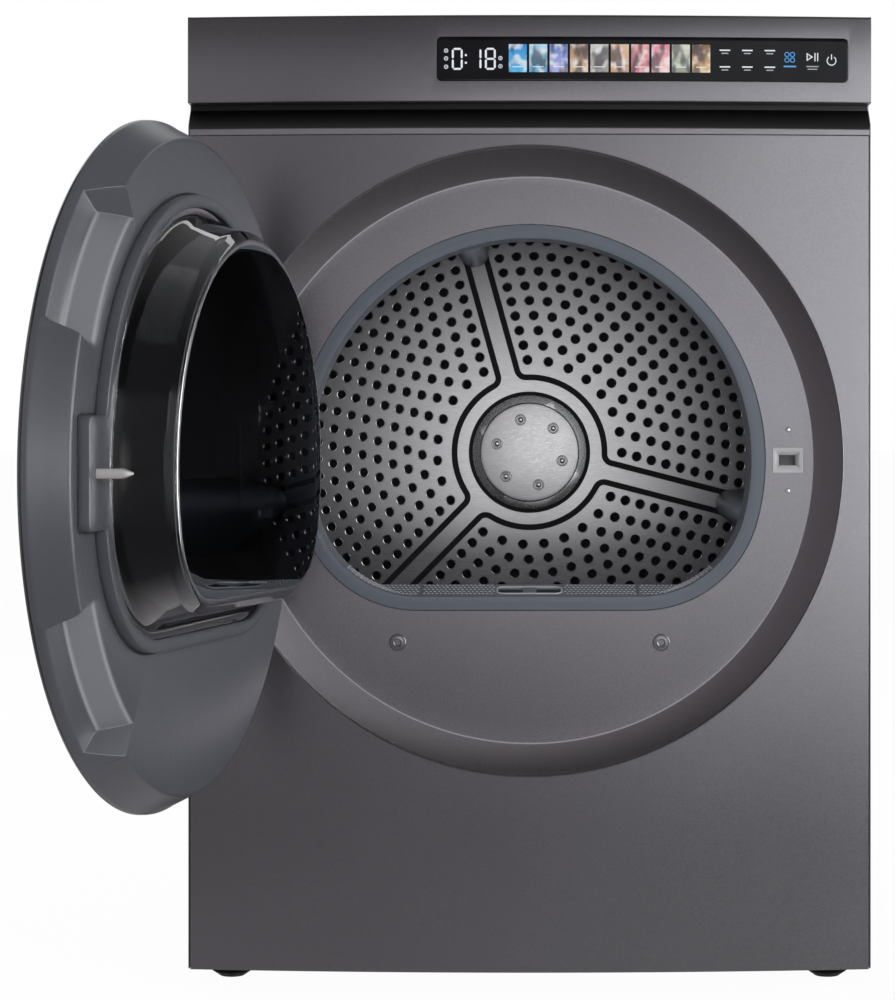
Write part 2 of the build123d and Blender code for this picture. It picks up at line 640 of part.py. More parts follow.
def filter_frame():
    """Lint filter: a sloping lid with a grip over a flat frame."""
    low = FILTER_FLOOR - WALL
    high = FILTER_FLOOR + FILTER_RISE
    lid_points = [(FILTER_FRONT, low), (FILTER_FRONT, FILTER_FLOOR), (FILTER_REAR, high), (FILTER_REAR, low)]
    side = Plane.YZ * make_face(Polyline(*[(FRONT + depth, z) for depth, z in lid_points], close=True))
    lid = Pos(-FILTER_HALF_WIDTH, 0, 0) * extrude(side, 2 * FILTER_HALF_WIDTH, dir=(1, 0, 0))
    middle = (FILTER_FRONT + FILTER_REAR) / 2
    thick = (middle - FILTER_THICKNESS / 2, middle + FILTER_THICKNESS / 2)
    half = FILTER_HALF_WIDTH - FIT_GAP
    frame = block((-half, half), thick, (low - FILTER_LENGTH, low))
    window = half - FILTER_RAIL
    window_z = (low - FILTER_LENGTH + FILTER_RAIL, low - GRIP_SINK - FILTER_RAIL)
    frame -= block((-window, window), thick, window_z)
    body = lid + frame
    grip = (FILTER_FRONT + GRIP_MARGIN, FILTER_REAR - GRIP_MARGIN)
    for x in ((-GRIP_HALF_WIDTH, -GRIP_TAB_HALF), (GRIP_TAB_HALF, GRIP_HALF_WIDTH)):
        body -= block(x, grip, (low - GRIP_SINK, high))
    return body


def filter_mesh():
    """Fine screen held in the filter frame's window."""
    low = FILTER_FLOOR - WALL
    half = FILTER_HALF_WIDTH - FIT_GAP - FILTER_RAIL - SEAT_GAP
    middle = (FILTER_FRONT + FILTER_REAR) / 2
    thick = (middle - MESH_THICKNESS / 2, middle + MESH_THICKNESS / 2)
    bottom = low - FILTER_LENGTH + FILTER_RAIL + SEAT_GAP
    return block((-half, half), thick, (bottom, low - GRIP_SINK - FILTER_RAIL - SEAT_GAP))


def latch_body():
    """Moulded socket with spring jaws that grips the door's strike."""
    behind = RECESS_DEPTH + SHEET + FIT_GAP
    end = LATCH_DEPTH + 2 * WALL
    shell = Rectangle(LATCH_FRAME_WIDTH, LATCH_FRAME_HEIGHT)
    slot = Rectangle(LATCH_SLOT_WIDTH, LATCH_SLOT_HEIGHT)
    flange = Rectangle(LATCH_FRAME_WIDTH, 2 * LATCH_FLANGE_HALF)
    place = Pos(STRIKE_X, 0)
    body = front_prism(place * shell, RECESS_DEPTH - SHEET, end)
    body += front_prism(place * flange, behind, behind + BULKHEAD_SHEET)
    body -= front_prism(place * slot, 0, LATCH_DEPTH + WALL)
    body -= front_prism(d_outline(BEZEL_FACE + BEZEL_LIP + FIT_GAP), behind, end + WALL)
    for x, z in latch_screw_places():
        body -= rod(x, z, SCREW_RADIUS + SEAT_GAP, 0, LATCH_DEPTH)
    return body


def screw(x, z, seat, towards):
    """Pan-head screw with its head on a seat depth, its shank running backwards or forwards."""
    head = sorted((seat, seat - towards * SCREW_HEAD))
    shank = sorted((seat, seat + towards * SCREW_LENGTH))
    return rod(x, z, SCREW_HEAD_RADIUS, *head) + rod(x, z, SCREW_RADIUS, *shank)


def cabinet_screws():
    """Screws of the rear panel and of the latch."""
    rear = [screw(x, z, CABINET_DEPTH, -1) for x, z in rear_screw_places()]
    latch = [screw(x, z, RECESS_DEPTH, 1) for x, z in latch_screw_places()]
    return Compound(rear + latch)


def panel_caps():
    """Round plastic caps in the recess below the opening."""
    caps = []
    for x, z in cap_places():
        head = rod(x, z, CAP_RADIUS, RECESS_DEPTH - CAP_HEIGHT, RECESS_DEPTH)
        caps.append(head + rod(x, z, CAP_STEM_RADIUS, RECESS_DEPTH, RECESS_DEPTH + CAP_HEIGHT))
    return Compound(caps)


def hinge_bracket():
    """Steel plate behind the recess with two cranked arms that hold the hinge pin."""
    behind = RECESS_DEPTH + SHEET + FIT_GAP
    plate_half = HINGE_SPREAD + 2 * ARM_HEIGHT
    outline = Pos(ARM_SHIFT - HINGE_REACH, 0) * Rectangle(5 * ARM_WIDTH, 2 * plate_half)
    outline -= d_outline(BEZEL_FACE + BEZEL_LIP + FIT_GAP)
    bracket = front_prism(outline, behind, behind + BULKHEAD_SHEET)
    pin = Vector(-HINGE_REACH, FRONT + HINGE_DEPTH)
    bend = pin + Vector(ARM_SHIFT, ARM_BEND)
    root = Vector(bend.X, FRONT + behind)
    crank = make_hull((Pos(pin.X, pin.Y) * Circle(ARM_WIDTH / 2)).edges()
                      + (Pos(bend.X, bend.Y) * Circle(ARM_WIDTH / 2)).edges())
    crank += Pos(bend.X, (bend.Y + root.Y) / 2) * Rectangle(ARM_WIDTH, root.Y - bend.Y)
    crank += Pos(pin.X, pin.Y) * Circle(HINGE_EYE_RADIUS)
    crank -= Pos(pin.X, pin.Y) * Circle(HINGE_PIN_RADIUS + SEAT_GAP)
    for side in (-1, 1):
        low = RING_HEIGHT + side * HINGE_SPREAD - ARM_HEIGHT / 2
        bracket += Pos(0, 0, low) * extrude(crank, ARM_HEIGHT, dir=(0, 0, 1))
    return bracket


def hinge_pin():
    """Steel pin through both bracket arms and the door's leaf."""
    half = HINGE_SPREAD + ARM_HEIGHT
    return upright(-HINGE_REACH, HINGE_DEPTH, HINGE_PIN_RADIUS, RING_HEIGHT - half, RING_HEIGHT + half)


def chamber_outline(growth):
    """Rear air chamber: a round dish with a chute down to the fan."""
    left = MOTOR_X + CHUTE_LEFT - growth
    right = MOTOR_X + CHUTE_RIGHT + growth
    drop = RING_HEIGHT - FAN_TOP
    chute = Pos((left + right) / 2, -drop / 2) * Rectangle(right - left, drop)
    return Circle(CHAMBER_RADIUS + growth) + chute


def rear_bulkhead():
    """Inner rear wall with the air chamber and the bearing boss behind the drum."""
    height = (BASE_TOP + FIT_GAP, FASCIA_LOW - SHEET)
    back = CHAMBER_FRONT + BULKHEAD_SHEET
    wall = block((-INNER_HALF, INNER_HALF), (CHAMBER_FRONT, back), height)
    wall += front_prism(chamber_outline(BULKHEAD_SHEET), CHAMBER_FRONT, CHAMBER_END)
    wall -= front_prism(chamber_outline(0), CHAMBER_FRONT - SHEET, CHAMBER_END - BULKHEAD_SHEET)
    boss = BEARING_RADIUS + BOSS_WALL
    wall += rod(0, RING_HEIGHT, boss, SHAFT_END - BEARING_LENGTH - BULKHEAD_SHEET, CHAMBER_END)
    wall -= rod(0, RING_HEIGHT, BEARING_RADIUS + SEAT_GAP, CHAMBER_FRONT, CHAMBER_END - BULKHEAD_SHEET)
    wall -= rod(MOTOR_X, MOTOR_Z, FAN_EYE_RADIUS, CHAMBER_FRONT - SHEET, back + SHEET)
    return wall - rod(PUMP_X, DRAIN_Z, DRAIN_RADIUS + FIT_GAP, CHAMBER_FRONT - SHEET, back + SHEET)


def rear_bearing():
    """Bush that carries the drum's shaft."""
    near = SHAFT_END - BEARING_LENGTH
    outer = BEARING_RADIUS
    inner = SHAFT_RADIUS + RUNNING_GAP
    return turned((inner, near), (outer, near), (outer, SHAFT_END), (inner, SHAFT_END))


def roller_axles():
    """Steel axles of the drum's two front rollers, with shoulders and end washers."""
    axles = []
    roller_end = ROLLER_START + ROLLER_WIDTH
    for side in (-1, 1):
        axle = rod(side * ROLLER_X, ROLLER_Z, AXLE_RADIUS, BULKHEAD_DEPTH, roller_end + 2 * WALL)
        axle += rod(side * ROLLER_X, ROLLER_Z, AXLE_SHOULDER, BULKHEAD_BACK, ROLLER_START - FIT_GAP)
        axle += rod(side * ROLLER_X, ROLLER_Z, AXLE_SHOULDER, roller_end + FIT_GAP, roller_end + 2 * WALL)
        axles.append(axle)
    return Compound(axles)


def roller(side):
    """Rubber-tyred wheel under the front of the drum."""
    wheel = rod(side * ROLLER_X, ROLLER_Z, ROLLER_RADIUS, ROLLER_START, ROLLER_START + ROLLER_WIDTH)
    return wheel - rod(side * ROLLER_X, ROLLER_Z, AXLE_RADIUS + RUNNING_GAP, 0, CABINET_DEPTH)


def motor_body():
    """Motor with its cradle on the base."""
    end = MOTOR_START + MOTOR_LENGTH
    body = rod(MOTOR_X, MOTOR_Z, MOTOR_RADIUS, MOTOR_START, end)
    margin = MOTOR_LENGTH / 4
    x = (MOTOR_X - MOTOR_RADIUS * 0.8, MOTOR_X + MOTOR_RADIUS * 0.8)
    body += block(x, (MOTOR_START + margin, end - margin), (BASE_INSIDE, MOTOR_Z))
    return body - rod(MOTOR_X, MOTOR_Z, MOTOR_SHAFT_RADIUS + FIT_GAP, 0, CABINET_DEPTH)


def motor_shaft():
    """Motor shaft with the belt pulley turned on its front end."""
    pulley_start = BELT_DEPTH - (PULLEY_WIDTH - BELT_WIDTH) / 2
    shaft = rod(MOTOR_X, MOTOR_Z, MOTOR_SHAFT_RADIUS, pulley_start, FAN_BACK - 4 * WALL)
    return shaft + rod(MOTOR_X, MOTOR_Z, PULLEY_RADIUS, pulley_start, pulley_start + PULLEY_WIDTH)


def fan_impeller():
    """Fan wheel on the motor shaft: hub, back disc and radial blades."""
    disc_far = FAN_BACK - 4 * WALL
    disc_near = disc_far - WALL
    blade_near = FAN_FRONT + 2 * WALL
    wheel = rod(MOTOR_X, MOTOR_Z, IMPELLER_RADIUS, disc_near, disc_far)
    wheel += rod(MOTOR_X, MOTOR_Z, IMPELLER_HUB, blade_near, disc_far)
    blade_low = FAN_EYE_RADIUS - BLADE_THICKNESS
    for count in range(BLADE_COUNT):
        blade = block((-BLADE_THICKNESS / 2, BLADE_THICKNESS / 2), (blade_near, disc_near),
                      (blade_low, IMPELLER_RADIUS))
        wheel += Pos(MOTOR_X, 0, MOTOR_Z) * blade.rotate(Axis.Y, count * 360 / BLADE_COUNT)
    return wheel - rod(MOTOR_X, MOTOR_Z, MOTOR_SHAFT_RADIUS + SEAT_GAP, 0, CABINET_DEPTH)


def belt_outline(growth):
    """Loop round the drum and the pulley, as seen from the front about the drum's axis."""
    drum = Circle(DRUM_RADIUS + growth)
    pulley = Pos(MOTOR_X, MOTOR_Z - RING_HEIGHT) * Circle(PULLEY_RADIUS + growth)
    return make_hull(drum.edges() + pulley.edges())


def drive_belt():
    """Elastic ribbed belt from the motor's pulley round the drum."""
    loop = belt_outline(FIT_GAP + BELT_THICKNESS) - belt_outline(FIT_GAP)
    return front_prism(loop, BELT_DEPTH, BELT_DEPTH + BELT_WIDTH)


def fan_outline(growth):
    """Fan casing: a round case with an outlet up to the chute."""
    left = CHUTE_LEFT - growth
    right = CHUTE_RIGHT + growth
    outlet = Pos((left + right) / 2, FAN_RADIUS / 2) * Rectangle(right - left, FAN_RADIUS)
    return Pos(MOTOR_X, MOTOR_Z - RING_HEIGHT) * (Circle(FAN_RADIUS - 2 * WALL + growth) + outlet)


def fan_housing():
    """Casing of the drying-air fan, open at the front to the rear wall's eye."""
    case = front_prism(fan_outline(BULKHEAD_SHEET), FAN_FRONT, FAN_BACK)
    case -= front_prism(fan_outline(0), FAN_FRONT - SHEET, FAN_BACK - BULKHEAD_SHEET)
    return case


def exchanger(start, length):
    """Finned block of the heat pump with two end plates."""
    right = EXCHANGER_LEFT + EXCHANGER_WIDTH
    inside = (EXCHANGER_LEFT + END_PLATE, right - END_PLATE)
    fins = (start + END_PLATE, start + length - END_PLATE)
    core = block(inside, fins, (BASE_INSIDE + END_PLATE, EXCHANGER_TOP - END_PLATE))
    for x in (EXCHANGER_LEFT, right - END_PLATE):
        core += block((x, x + END_PLATE), (start, start + length), (BASE_INSIDE, EXCHANGER_TOP))
    return core


def pipe_routes():
    """Routes of the three refrigerant pipes as (sideways, depth, height) corners."""
    high = EXCHANGER_TOP + PIPE_RISE
    x = COMPRESSOR_X
    fin_top = EXCHANGER_TOP - END_PLATE
    condenser_rear = CONDENSER_START + CONDENSER_LENGTH - PIPE_SPACING / 2
    evaporator_middle = EVAPORATOR_START + EVAPORATOR_LENGTH / 2
    condenser_front = CONDENSER_START + PIPE_SPACING
    hot_gas = (x, (COMPRESSOR_DEPTH, COMPRESSOR_TOP), (condenser_rear, fin_top))
    cold_gas = (x + PIPE_SPACING, (evaporator_middle, fin_top), (COMPRESSOR_DEPTH, COMPRESSOR_TOP))
    liquid = (x - PIPE_SPACING, (condenser_front, fin_top), (evaporator_middle, fin_top))
    routes = []
    for side, (start, start_z), (end, end_z) in (hot_gas, cold_gas, liquid):
        routes.append([(side, start, start_z), (side, start, high), (side, end, high), (side, end, end_z)])
    return routes


def refrigerant_pipes():
    """Copper pipes between the compressor and the two finned blocks."""
    pipes = []
    for route in pipe_routes():
        path = FilletPolyline(*[(x, FRONT + depth, z) for x, depth, z in route], radius=PIPE_BEND)
        section = Plane(path @ 0, z_dir=path % 0) * Circle(PIPE_RADIUS)
        pipes.append(sweep(section, path=path))
    return Compound([pipe.solid() for pipe in pipes])


def duct_cover():
    """Lid over the two finned blocks that keeps the air between them."""
    right = EXCHANGER_LEFT + EXCHANGER_WIDTH
    depth = (EVAPORATOR_START - 2 * WALL, CONDENSER_START + CONDENSER_LENGTH + 2 * WALL)
    inside = (EXCHANGER_LEFT - FIT_GAP, right + FIT_GAP)
    top = EXCHANGER_TOP + FIT_GAP
    cover = block((inside[0] - WALL, inside[1] + WALL), depth, (BASE_INSIDE, top + WALL))
    cover -= block(inside, (0, CABINET_DEPTH), (0, top))
    for route in pipe_routes():
        for x, pipe_depth, z in (route[0], route[-1]):
            if z < COMPRESSOR_TOP:
                cover -= upright(x, pipe_depth, PIPE_RADIUS + FIT_GAP, z, EXCHANGER_TOP + PIPE_RISE)
    return cover


def compressor_mount_places():
    """Places of the rubber mounts round the compressor's foot plate."""
    reach = COMPRESSOR_RADIUS + MOUNT_RADIUS / 2
    turns = [count * 360 / MOUNT_COUNT for count in range(MOUNT_COUNT)]
    offsets = [on_circle(reach, turn) for turn in turns]
    return [(COMPRESSOR_X + x, COMPRESSOR_DEPTH + y) for x, y in offsets]


def compressor():
    """Hermetic compressor with a foot plate."""
    x = COMPRESSOR_X
    depth = COMPRESSOR_DEPTH
    pot = upright(x, depth, COMPRESSOR_RADIUS, COMPRESSOR_FOOT, COMPRESSOR_TOP)
    plate = upright(x, depth, COMPRESSOR_RADIUS + MOUNT_RADIUS, COMPRESSOR_FOOT, COMPRESSOR_FOOT + END_PLATE)
    return pot + plate


def compressor_mounts():
    """Rubber mounts that carry the compressor on the base."""
    places = compressor_mount_places()
    return Compound([upright(x, depth, MOUNT_RADIUS, BASE_INSIDE, COMPRESSOR_FOOT) for x, depth in places])


def sump_pump():
    """Pump that lifts the condensed water out of the base."""
    end = PUMP_START + PUMP_LENGTH
    x = (PUMP_X - PUMP_WIDTH / 2, PUMP_X + PUMP_WIDTH / 2)
    top = BASE_INSIDE + PUMP_HEIGHT
    body = block(x, (PUMP_START, end), (BASE_INSIDE, top))
    return body + upright(PUMP_X, (PUMP_START + end) / 2, PUMP_MOTOR_RADIUS, top, top + PUMP_MOTOR_HEIGHT)


def drain_outlet():
    """Drain pipe from the pump to the spigot at the back."""
    start = PUMP_START + PUMP_LENGTH
    end = CABINET_DEPTH + DRAIN_REACH
    return rod(PUMP_X, DRAIN_Z, DRAIN_RADIUS, start, end) - rod(PUMP_X, DRAIN_Z, DRAIN_BORE, start, end)


def power_inlet():
    """Moulded inlet block at the back for the mains lead."""
    half = INLET_WIDTH / 2
    tall = INLET_HEIGHT / 2
    depth = (REAR_FACE - 2 * INLET_REACH, CABINET_DEPTH + INLET_REACH)
    body = block((INLET_X - half, INLET_X + half), depth, (INLET_Z - tall, INLET_Z + tall))
    return body - rod(INLET_X, INLET_Z, DRAIN_BORE, *depth)


def drum_front():
    """Steel front ring of the drum, seamed to its wall, with a neck that runs on the seal."""
    near = DRUM_FRONT - NECK_LENGTH
    far = DRUM_FRONT + SHEET
    neck_outside = NECK_RADIUS + SHEET
    return turned((NECK_RADIUS, near), (neck_outside, near), (neck_outside, DRUM_FRONT),
                  (DRUM_RADIUS, DRUM_FRONT), (DRUM_RADIUS, far), (NECK_RADIUS, far))


def drum_shell():
    """Rolled steel wall of the drum."""
    near = DRUM_FRONT + SHEET
    far = DRUM_BACK + SHEET
    return turned((DRUM_INSIDE, near), (DRUM_RADIUS, near), (DRUM_RADIUS, far), (DRUM_INSIDE, far))


def spoke_angles():
    """Angles of the plain spokes between the perforated sectors."""
    return [SPOKE_ANGLE + count * 360 / SPOKE_COUNT for count in range(SPOKE_COUNT)]


def rivet_places():
    """Places of the rivets round the hub, in line with the spokes."""
    return [on_circle(RIVET_CIRCLE, SPOKE_ANGLE + count * 360 / RIVET_COUNT) for count in range(RIVET_COUNT)]


def air_hole_places():
    """Rings of air holes, evenly spread between margins of constant width beside the spokes."""
    places = []
    for ring in range(HOLE_RINGS):
        radius = FIRST_RING_RADIUS + ring * RING_PITCH
        count = FIRST_RING_HOLES + ring * RING_HOLE_STEP
        margin = math.degrees(math.asin(SPOKE_MARGIN / radius))
        step = (360 / SPOKE_COUNT - 2 * margin) / (count - 1)
        for spoke in spoke_angles():
            places += [on_circle(radius, spoke + margin + hole * step) for hole in range(count)]
    return places


def drum_back():
    """Perforated steel back of the drum."""
    edge = Wire(Edge.make_circle(DRUM_INSIDE - SEAT_GAP))
    air = [Wire(Edge.make_circle(HOLE_RADIUS, Plane((x, z, 0)))) for x, z in air_hole_places()]
    rivets = [Wire(Edge.make_circle(RIVET_RADIUS + SEAT_GAP, Plane((x, z, 0)))) for x, z in rivet_places()]
    return front_prism(Face(edge, air + rivets), DRUM_BACK, DRUM_BACK + SHEET)


def drum_hub():
    """Round plate in the middle of the drum's back."""
    plate = Circle(HUB_RADIUS)
    for x, z in rivet_places():
        plate -= Pos(x, z) * Circle(RIVET_RADIUS + SEAT_GAP)
    return front_prism(plate, DRUM_BACK - HUB_THICKNESS, DRUM_BACK)


def drum_rivets():
    """Rivets that clamp the hub plate, the drum's back and the shaft's flange."""
    seat = DRUM_BACK - HUB_THICKNESS
    end = DRUM_BACK + SHEET + SHAFT_FLANGE
    rivets = []
    for x, z in rivet_places():
        head = rod(x, RING_HEIGHT + z, RIVET_HEAD_RADIUS, seat - RIVET_HEAD, seat)
        rivets.append(head + rod(x, RING_HEIGHT + z, RIVET_RADIUS, seat, end))
    return Compound(rivets)


def drum_shaft():
    """Flanged steel stub shaft behind the drum."""
    flange = Circle(SHAFT_FLANGE_RADIUS)
    for x, z in rivet_places():
        flange -= Pos(x, z) * Circle(RIVET_RADIUS + SEAT_GAP)
    near = DRUM_BACK + SHEET
    return front_prism(flange, near, near + SHAFT_FLANGE) + rod(0, RING_HEIGHT, SHAFT_RADIUS, near, SHAFT_END)


def lifter_section(inset):
    """Rounded triangle of a lifter, standing on the drum's wall to the right of the axis."""
    crest = DRUM_INSIDE - LIFTER_HEIGHT + LIFTER_CREST_RADIUS
    edges = (Pos(crest, 0) * Circle(LIFTER_CREST_RADIUS - inset)).edges()
    for side in (-1, 1):
        edges += (Pos(DRUM_RADIUS, side * (LIFTER_BASE / 2 - inset)) * Circle(SHEET)).edges()
    return make_hull(edges) & Circle(DRUM_INSIDE - SEAT_GAP)


def drum_lifters():
    """Hollow plastic ribs that lift the load, in line with the spokes."""
    near = DRUM_FRONT + LIFTER_FRONT_GAP
    far = DRUM_BACK - LIFTER_BACK_GAP
    ribs = []
    for angle in spoke_angles():
        rib = front_prism(Rot(0, 0, angle) * lifter_section(0), near, far)
        rib -= front_prism(Rot(0, 0, angle) * lifter_section(WALL), near + WALL, far - WALL)
        ribs.append(rib.solid())
    return Compound(ribs)


def door_skin():
    """Domed outer cover of the door, turned over at its edge."""
    edge = RIM_BACK - SKIN_BAND
    crown = edge - SKIN_CROWN
    inner = DOOR_RADIUS - SKIN_WALL
    outside = TangentArc((0, -crown), (DOOR_RADIUS, -edge), tangent=(1, 0))
    inside = TangentArc((0, -crown - SKIN_WALL), (inner, -edge - SKIN_WALL), tangent=(1, 0))
    band = Polyline(outside @ 1, (DOOR_RADIUS, -RIM_BACK), (inner, -RIM_BACK), inside @ 1)
    profile = make_face([outside, band, inside, Line(inside @ 0, outside @ 0)])
    return opened(RING_VIEW * revolve(Plane.XZ * profile, Axis.Z))


def door_pocket(growth):
    """Finger pocket across the door's edge, swept about its axis up to a slanted end, with its mirror image."""
    ledge = RIM_BACK + POCKET_LEDGE - growth
    outside = DOOR_RADIUS + SKIN_CROWN
    rim = DOOR_RADIUS - growth
    inner = rim - POCKET_LEDGE_INSET
    back = rim - POCKET_BACK_INSET
    face = ring_profile((outside, ledge), (rim, ledge), (inner, ledge + POCKET_LEDGE_RISE),
                        (back, LINER_BACK), (back, LAND_BACK), (outside, LAND_BACK))
    spread = math.degrees(growth / inner)
    upper = revolve(face.rotate(Axis.Z, POCKET_START - spread), Axis.Z, 90 - POCKET_START)
    along = Vector(*on_circle(1, POCKET_END))
    near = Vector(*on_circle(back, POCKET_END), -LINER_BACK)
    far = Vector(*on_circle(inner, POCKET_END - POCKET_SKEW), -ledge - POCKET_LEDGE_RISE)
    facing = along.cross(far - near).normalized()
    upper = split(upper, Plane(near - facing * growth, x_dir=along, z_dir=facing), keep=Keep.TOP)
    return RING_VIEW * (upper + mirror(upper, Plane.XZ))


def door_liner():
    """Inner moulding of the door: side wall, finger pockets, back plate and raised land."""
    rim = DOOR_RADIUS - FIT_GAP
    back = LINER_RADIUS
    body = turned((0, RIM_BACK), (rim, RIM_BACK), (back, LINER_BACK), (0, LINER_BACK))
    cavity = turned((0, RIM_BACK - WALL), (rim - WALL, RIM_BACK - WALL), (rim - WALL, RIM_BACK),
                    (back - WALL, LINER_BACK - WALL), (0, LINER_BACK - WALL))
    liner = body - cavity
    liner += door_pocket(WALL) & body
    liner -= door_pocket(0)
    liner += front_prism(land_outline(0), LINER_BACK - WALL, LAND_BACK)
    liner -= front_prism(land_outline(-WALL), LINER_BACK - 2 * WALL, LAND_BACK - WALL)
    liner -= front_prism(d_outline(BOWL_HOLE_MARGIN), LINER_BACK, LAND_BACK + WALL)
    shank = Rectangle(STRIKE_WIDTH + 2 * SEAT_GAP, STRIKE_HEIGHT + 2 * SEAT_GAP)
    liner -= front_prism(Pos(STRIKE_X, 0) * shank, LINER_BACK, LAND_BACK + WALL)
    arm_half = ARM_HEIGHT / 2 + WALL
    sweep_end = ARM_SHIFT + ARM_WIDTH / 2 + 1.5
    for side in (-1, 1):
        z = RING_HEIGHT + side * HINGE_SPREAD
        x = (-DOOR_RADIUS - WALL, sweep_end - HINGE_REACH)
        liner -= block(x, (RIM_BACK + FIT_GAP, LAND_BACK + WALL), (z - arm_half, z + arm_half))
    return opened(liner)


def bowl_form(inset, end_depth, edge_radius):
    """Tapered D-shaped plug with a rounded end."""
    mouth = LAND_BACK - WALL - BOWL_FLANGE
    sections = [Pos(0, 0, -mouth) * d_outline(-BOWL_MOUTH_INSET - inset),
                Pos(0, 0, -end_depth) * d_outline(-BOWL_END_INSET - inset)]
    plug = loft(sections, ruled=True)
    end_face = plug.faces().sort_by(Axis.Z)[0]
    return fillet(end_face.edges(), edge_radius)


def door_bowl():
    """Smoked glass bowl with a flange that the liner clamps."""
    flange_far = LAND_BACK - WALL
    flange = extrude(d_outline(BOWL_FLANGE_MARGIN), BOWL_FLANGE, dir=(0, 0, 1))
    bowl = Pos(0, 0, -flange_far) * flange + bowl_form(0, BOWL_END_DEPTH, BOWL_EDGE_RADIUS)
    bowl -= bowl_form(BOWL_GLASS, BOWL_END_DEPTH - BOWL_GLASS, BOWL_EDGE_RADIUS - BOWL_GLASS)
    return opened(RING_VIEW * bowl)


def door_gasket():
    """Rubber seal round the door's land."""
    loop = land_outline(GASKET_WIDTH) - land_outline(SEAT_GAP)
    return opened(front_prism(loop, LINER_BACK, RECESS_DEPTH - FIT_GAP))


def door_strike():
    """Pointed metal strike on a foot behind the land."""
    foot_far = LAND_BACK - WALL
    tip = LAND_BACK + STRIKE_LENGTH
    shank = Pos(STRIKE_X, 0) * Rectangle(STRIKE_WIDTH, STRIKE_HEIGHT)
    blunt = Pos(STRIKE_X, 0) * Rectangle(STRIKE_WIDTH / 4, STRIKE_HEIGHT / 4)
    strike = front_prism(shank, foot_far, tip - STRIKE_POINT)
    strike += RING_VIEW * loft([Pos(0, 0, STRIKE_POINT - tip) * shank, Pos(0, 0, -tip) * blunt], ruled=True)
    strike += block((STRIKE_X - STRIKE_WIDTH, STRIKE_X + STRIKE_WIDTH), (foot_far - BULKHEAD_SHEET, foot_far),
                    (RING_HEIGHT - 3 * STRIKE_HEIGHT, RING_HEIGHT + 3 * STRIKE_HEIGHT))
    return opened(strike)


def hinge_leaf():
    """Door half of the hinge: a barrel on the pin and a plate inside the door."""
    half = HINGE_SPREAD - ARM_HEIGHT / 2 - FIT_GAP
    low = RING_HEIGHT - half
    high = RING_HEIGHT + half
    leaf = upright(-HINGE_REACH, HINGE_DEPTH, HINGE_EYE_RADIUS, low, high)
    plate = (HINGE_DEPTH, HINGE_DEPTH + BULKHEAD_SHEET)
    leaf += block((-HINGE_REACH, LEAF_LENGTH - HINGE_REACH), plate, (low, high))
    bore = upright(-HINGE_REACH, HINGE_DEPTH, HINGE_PIN_RADIUS + RUNNING_GAP, low, high)
    return opened(leaf - bore)


pieces = {
    "base_pan": base_pan(),
    "left_side_panel": side_panel(-1),
    "right_side_panel": side_panel(1),
    "rear_panel": rear_panel(),
    "top_panel": top_panel(),
    "front_panel": front_panel(),
    "control_fascia": control_fascia(),
    "fascia_groove": fascia_groove(),
    "display_glass": display_glass(),
    "display_board": display_board(),
    "control_board": control_board(),
    "opening_bezel": opening_bezel(),
    "front_bulkhead": front_bulkhead(),
    "seal_collar": seal_collar(),
    "front_seal": front_seal(),
    "rear_seal": rear_seal(),
    "filter_housing": filter_housing(),
    "latch_body": latch_body(),
    "cabinet_screws": cabinet_screws(),
    "panel_caps": panel_caps(),
    "hinge_bracket": hinge_bracket(),
    "hinge_pin": hinge_pin(),
    "rear_bulkhead": rear_bulkhead(),
    "rear_bearing": rear_bearing(),
    "roller_axles": roller_axles(),
    "motor_body": motor_body(),
    "drive_belt": drive_belt(),
    "fan_housing": fan_housing(),
    "compressor": compressor(),
    "compressor_mounts": compressor_mounts(),
    "evaporator": exchanger(EVAPORATOR_START, EVAPORATOR_LENGTH),
    "condenser": exchanger(CONDENSER_START, CONDENSER_LENGTH),
    "refrigerant_pipes": refrigerant_pipes(),
    "duct_cover": duct_cover(),
    "sump_pump": sump_pump(),
    "drain_outlet": drain_outlet(),
    "power_inlet": power_inlet(),
    "door_skin": door_skin(),
    "door_liner": door_liner(),
    "door_bowl": door_bowl(),
    "door_gasket": door_gasket(),
    "door_strike": door_strike(),
    "hinge_leaf": hinge_leaf(),
    "drum_front": drum_front(),
    "drum_shell": drum_shell(),
    "drum_back": drum_back(),
    "drum_lifters": drum_lifters(),
    "drum_hub": drum_hub(),
    "drum_rivets": drum_rivets(),
    "drum_shaft": drum_shaft(),
    "left_roller": roller(-1),
    "right_roller": roller(1),
    "motor_shaft": motor_shaft(),
    "fan_impeller": fan_impeller(),
    "filter_frame": filter_frame(),
    "filter_mesh": filter_mesh(),
}
for name, (x, depth) in foot_places().items():
    pieces[name] = foot(x, depth)

os.makedirs("parts", exist_ok=True)
for name, piece in pieces.items():
    export_step(Pos(-STORED_ORIGIN_X, -STORED_ORIGIN_Y, 0) * piece, f"parts/{name}.step")
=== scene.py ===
import json
import math

import bmesh
import bpy
import numpy as np
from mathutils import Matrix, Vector
from mathutils.geometry import delaunay_2d_cdt

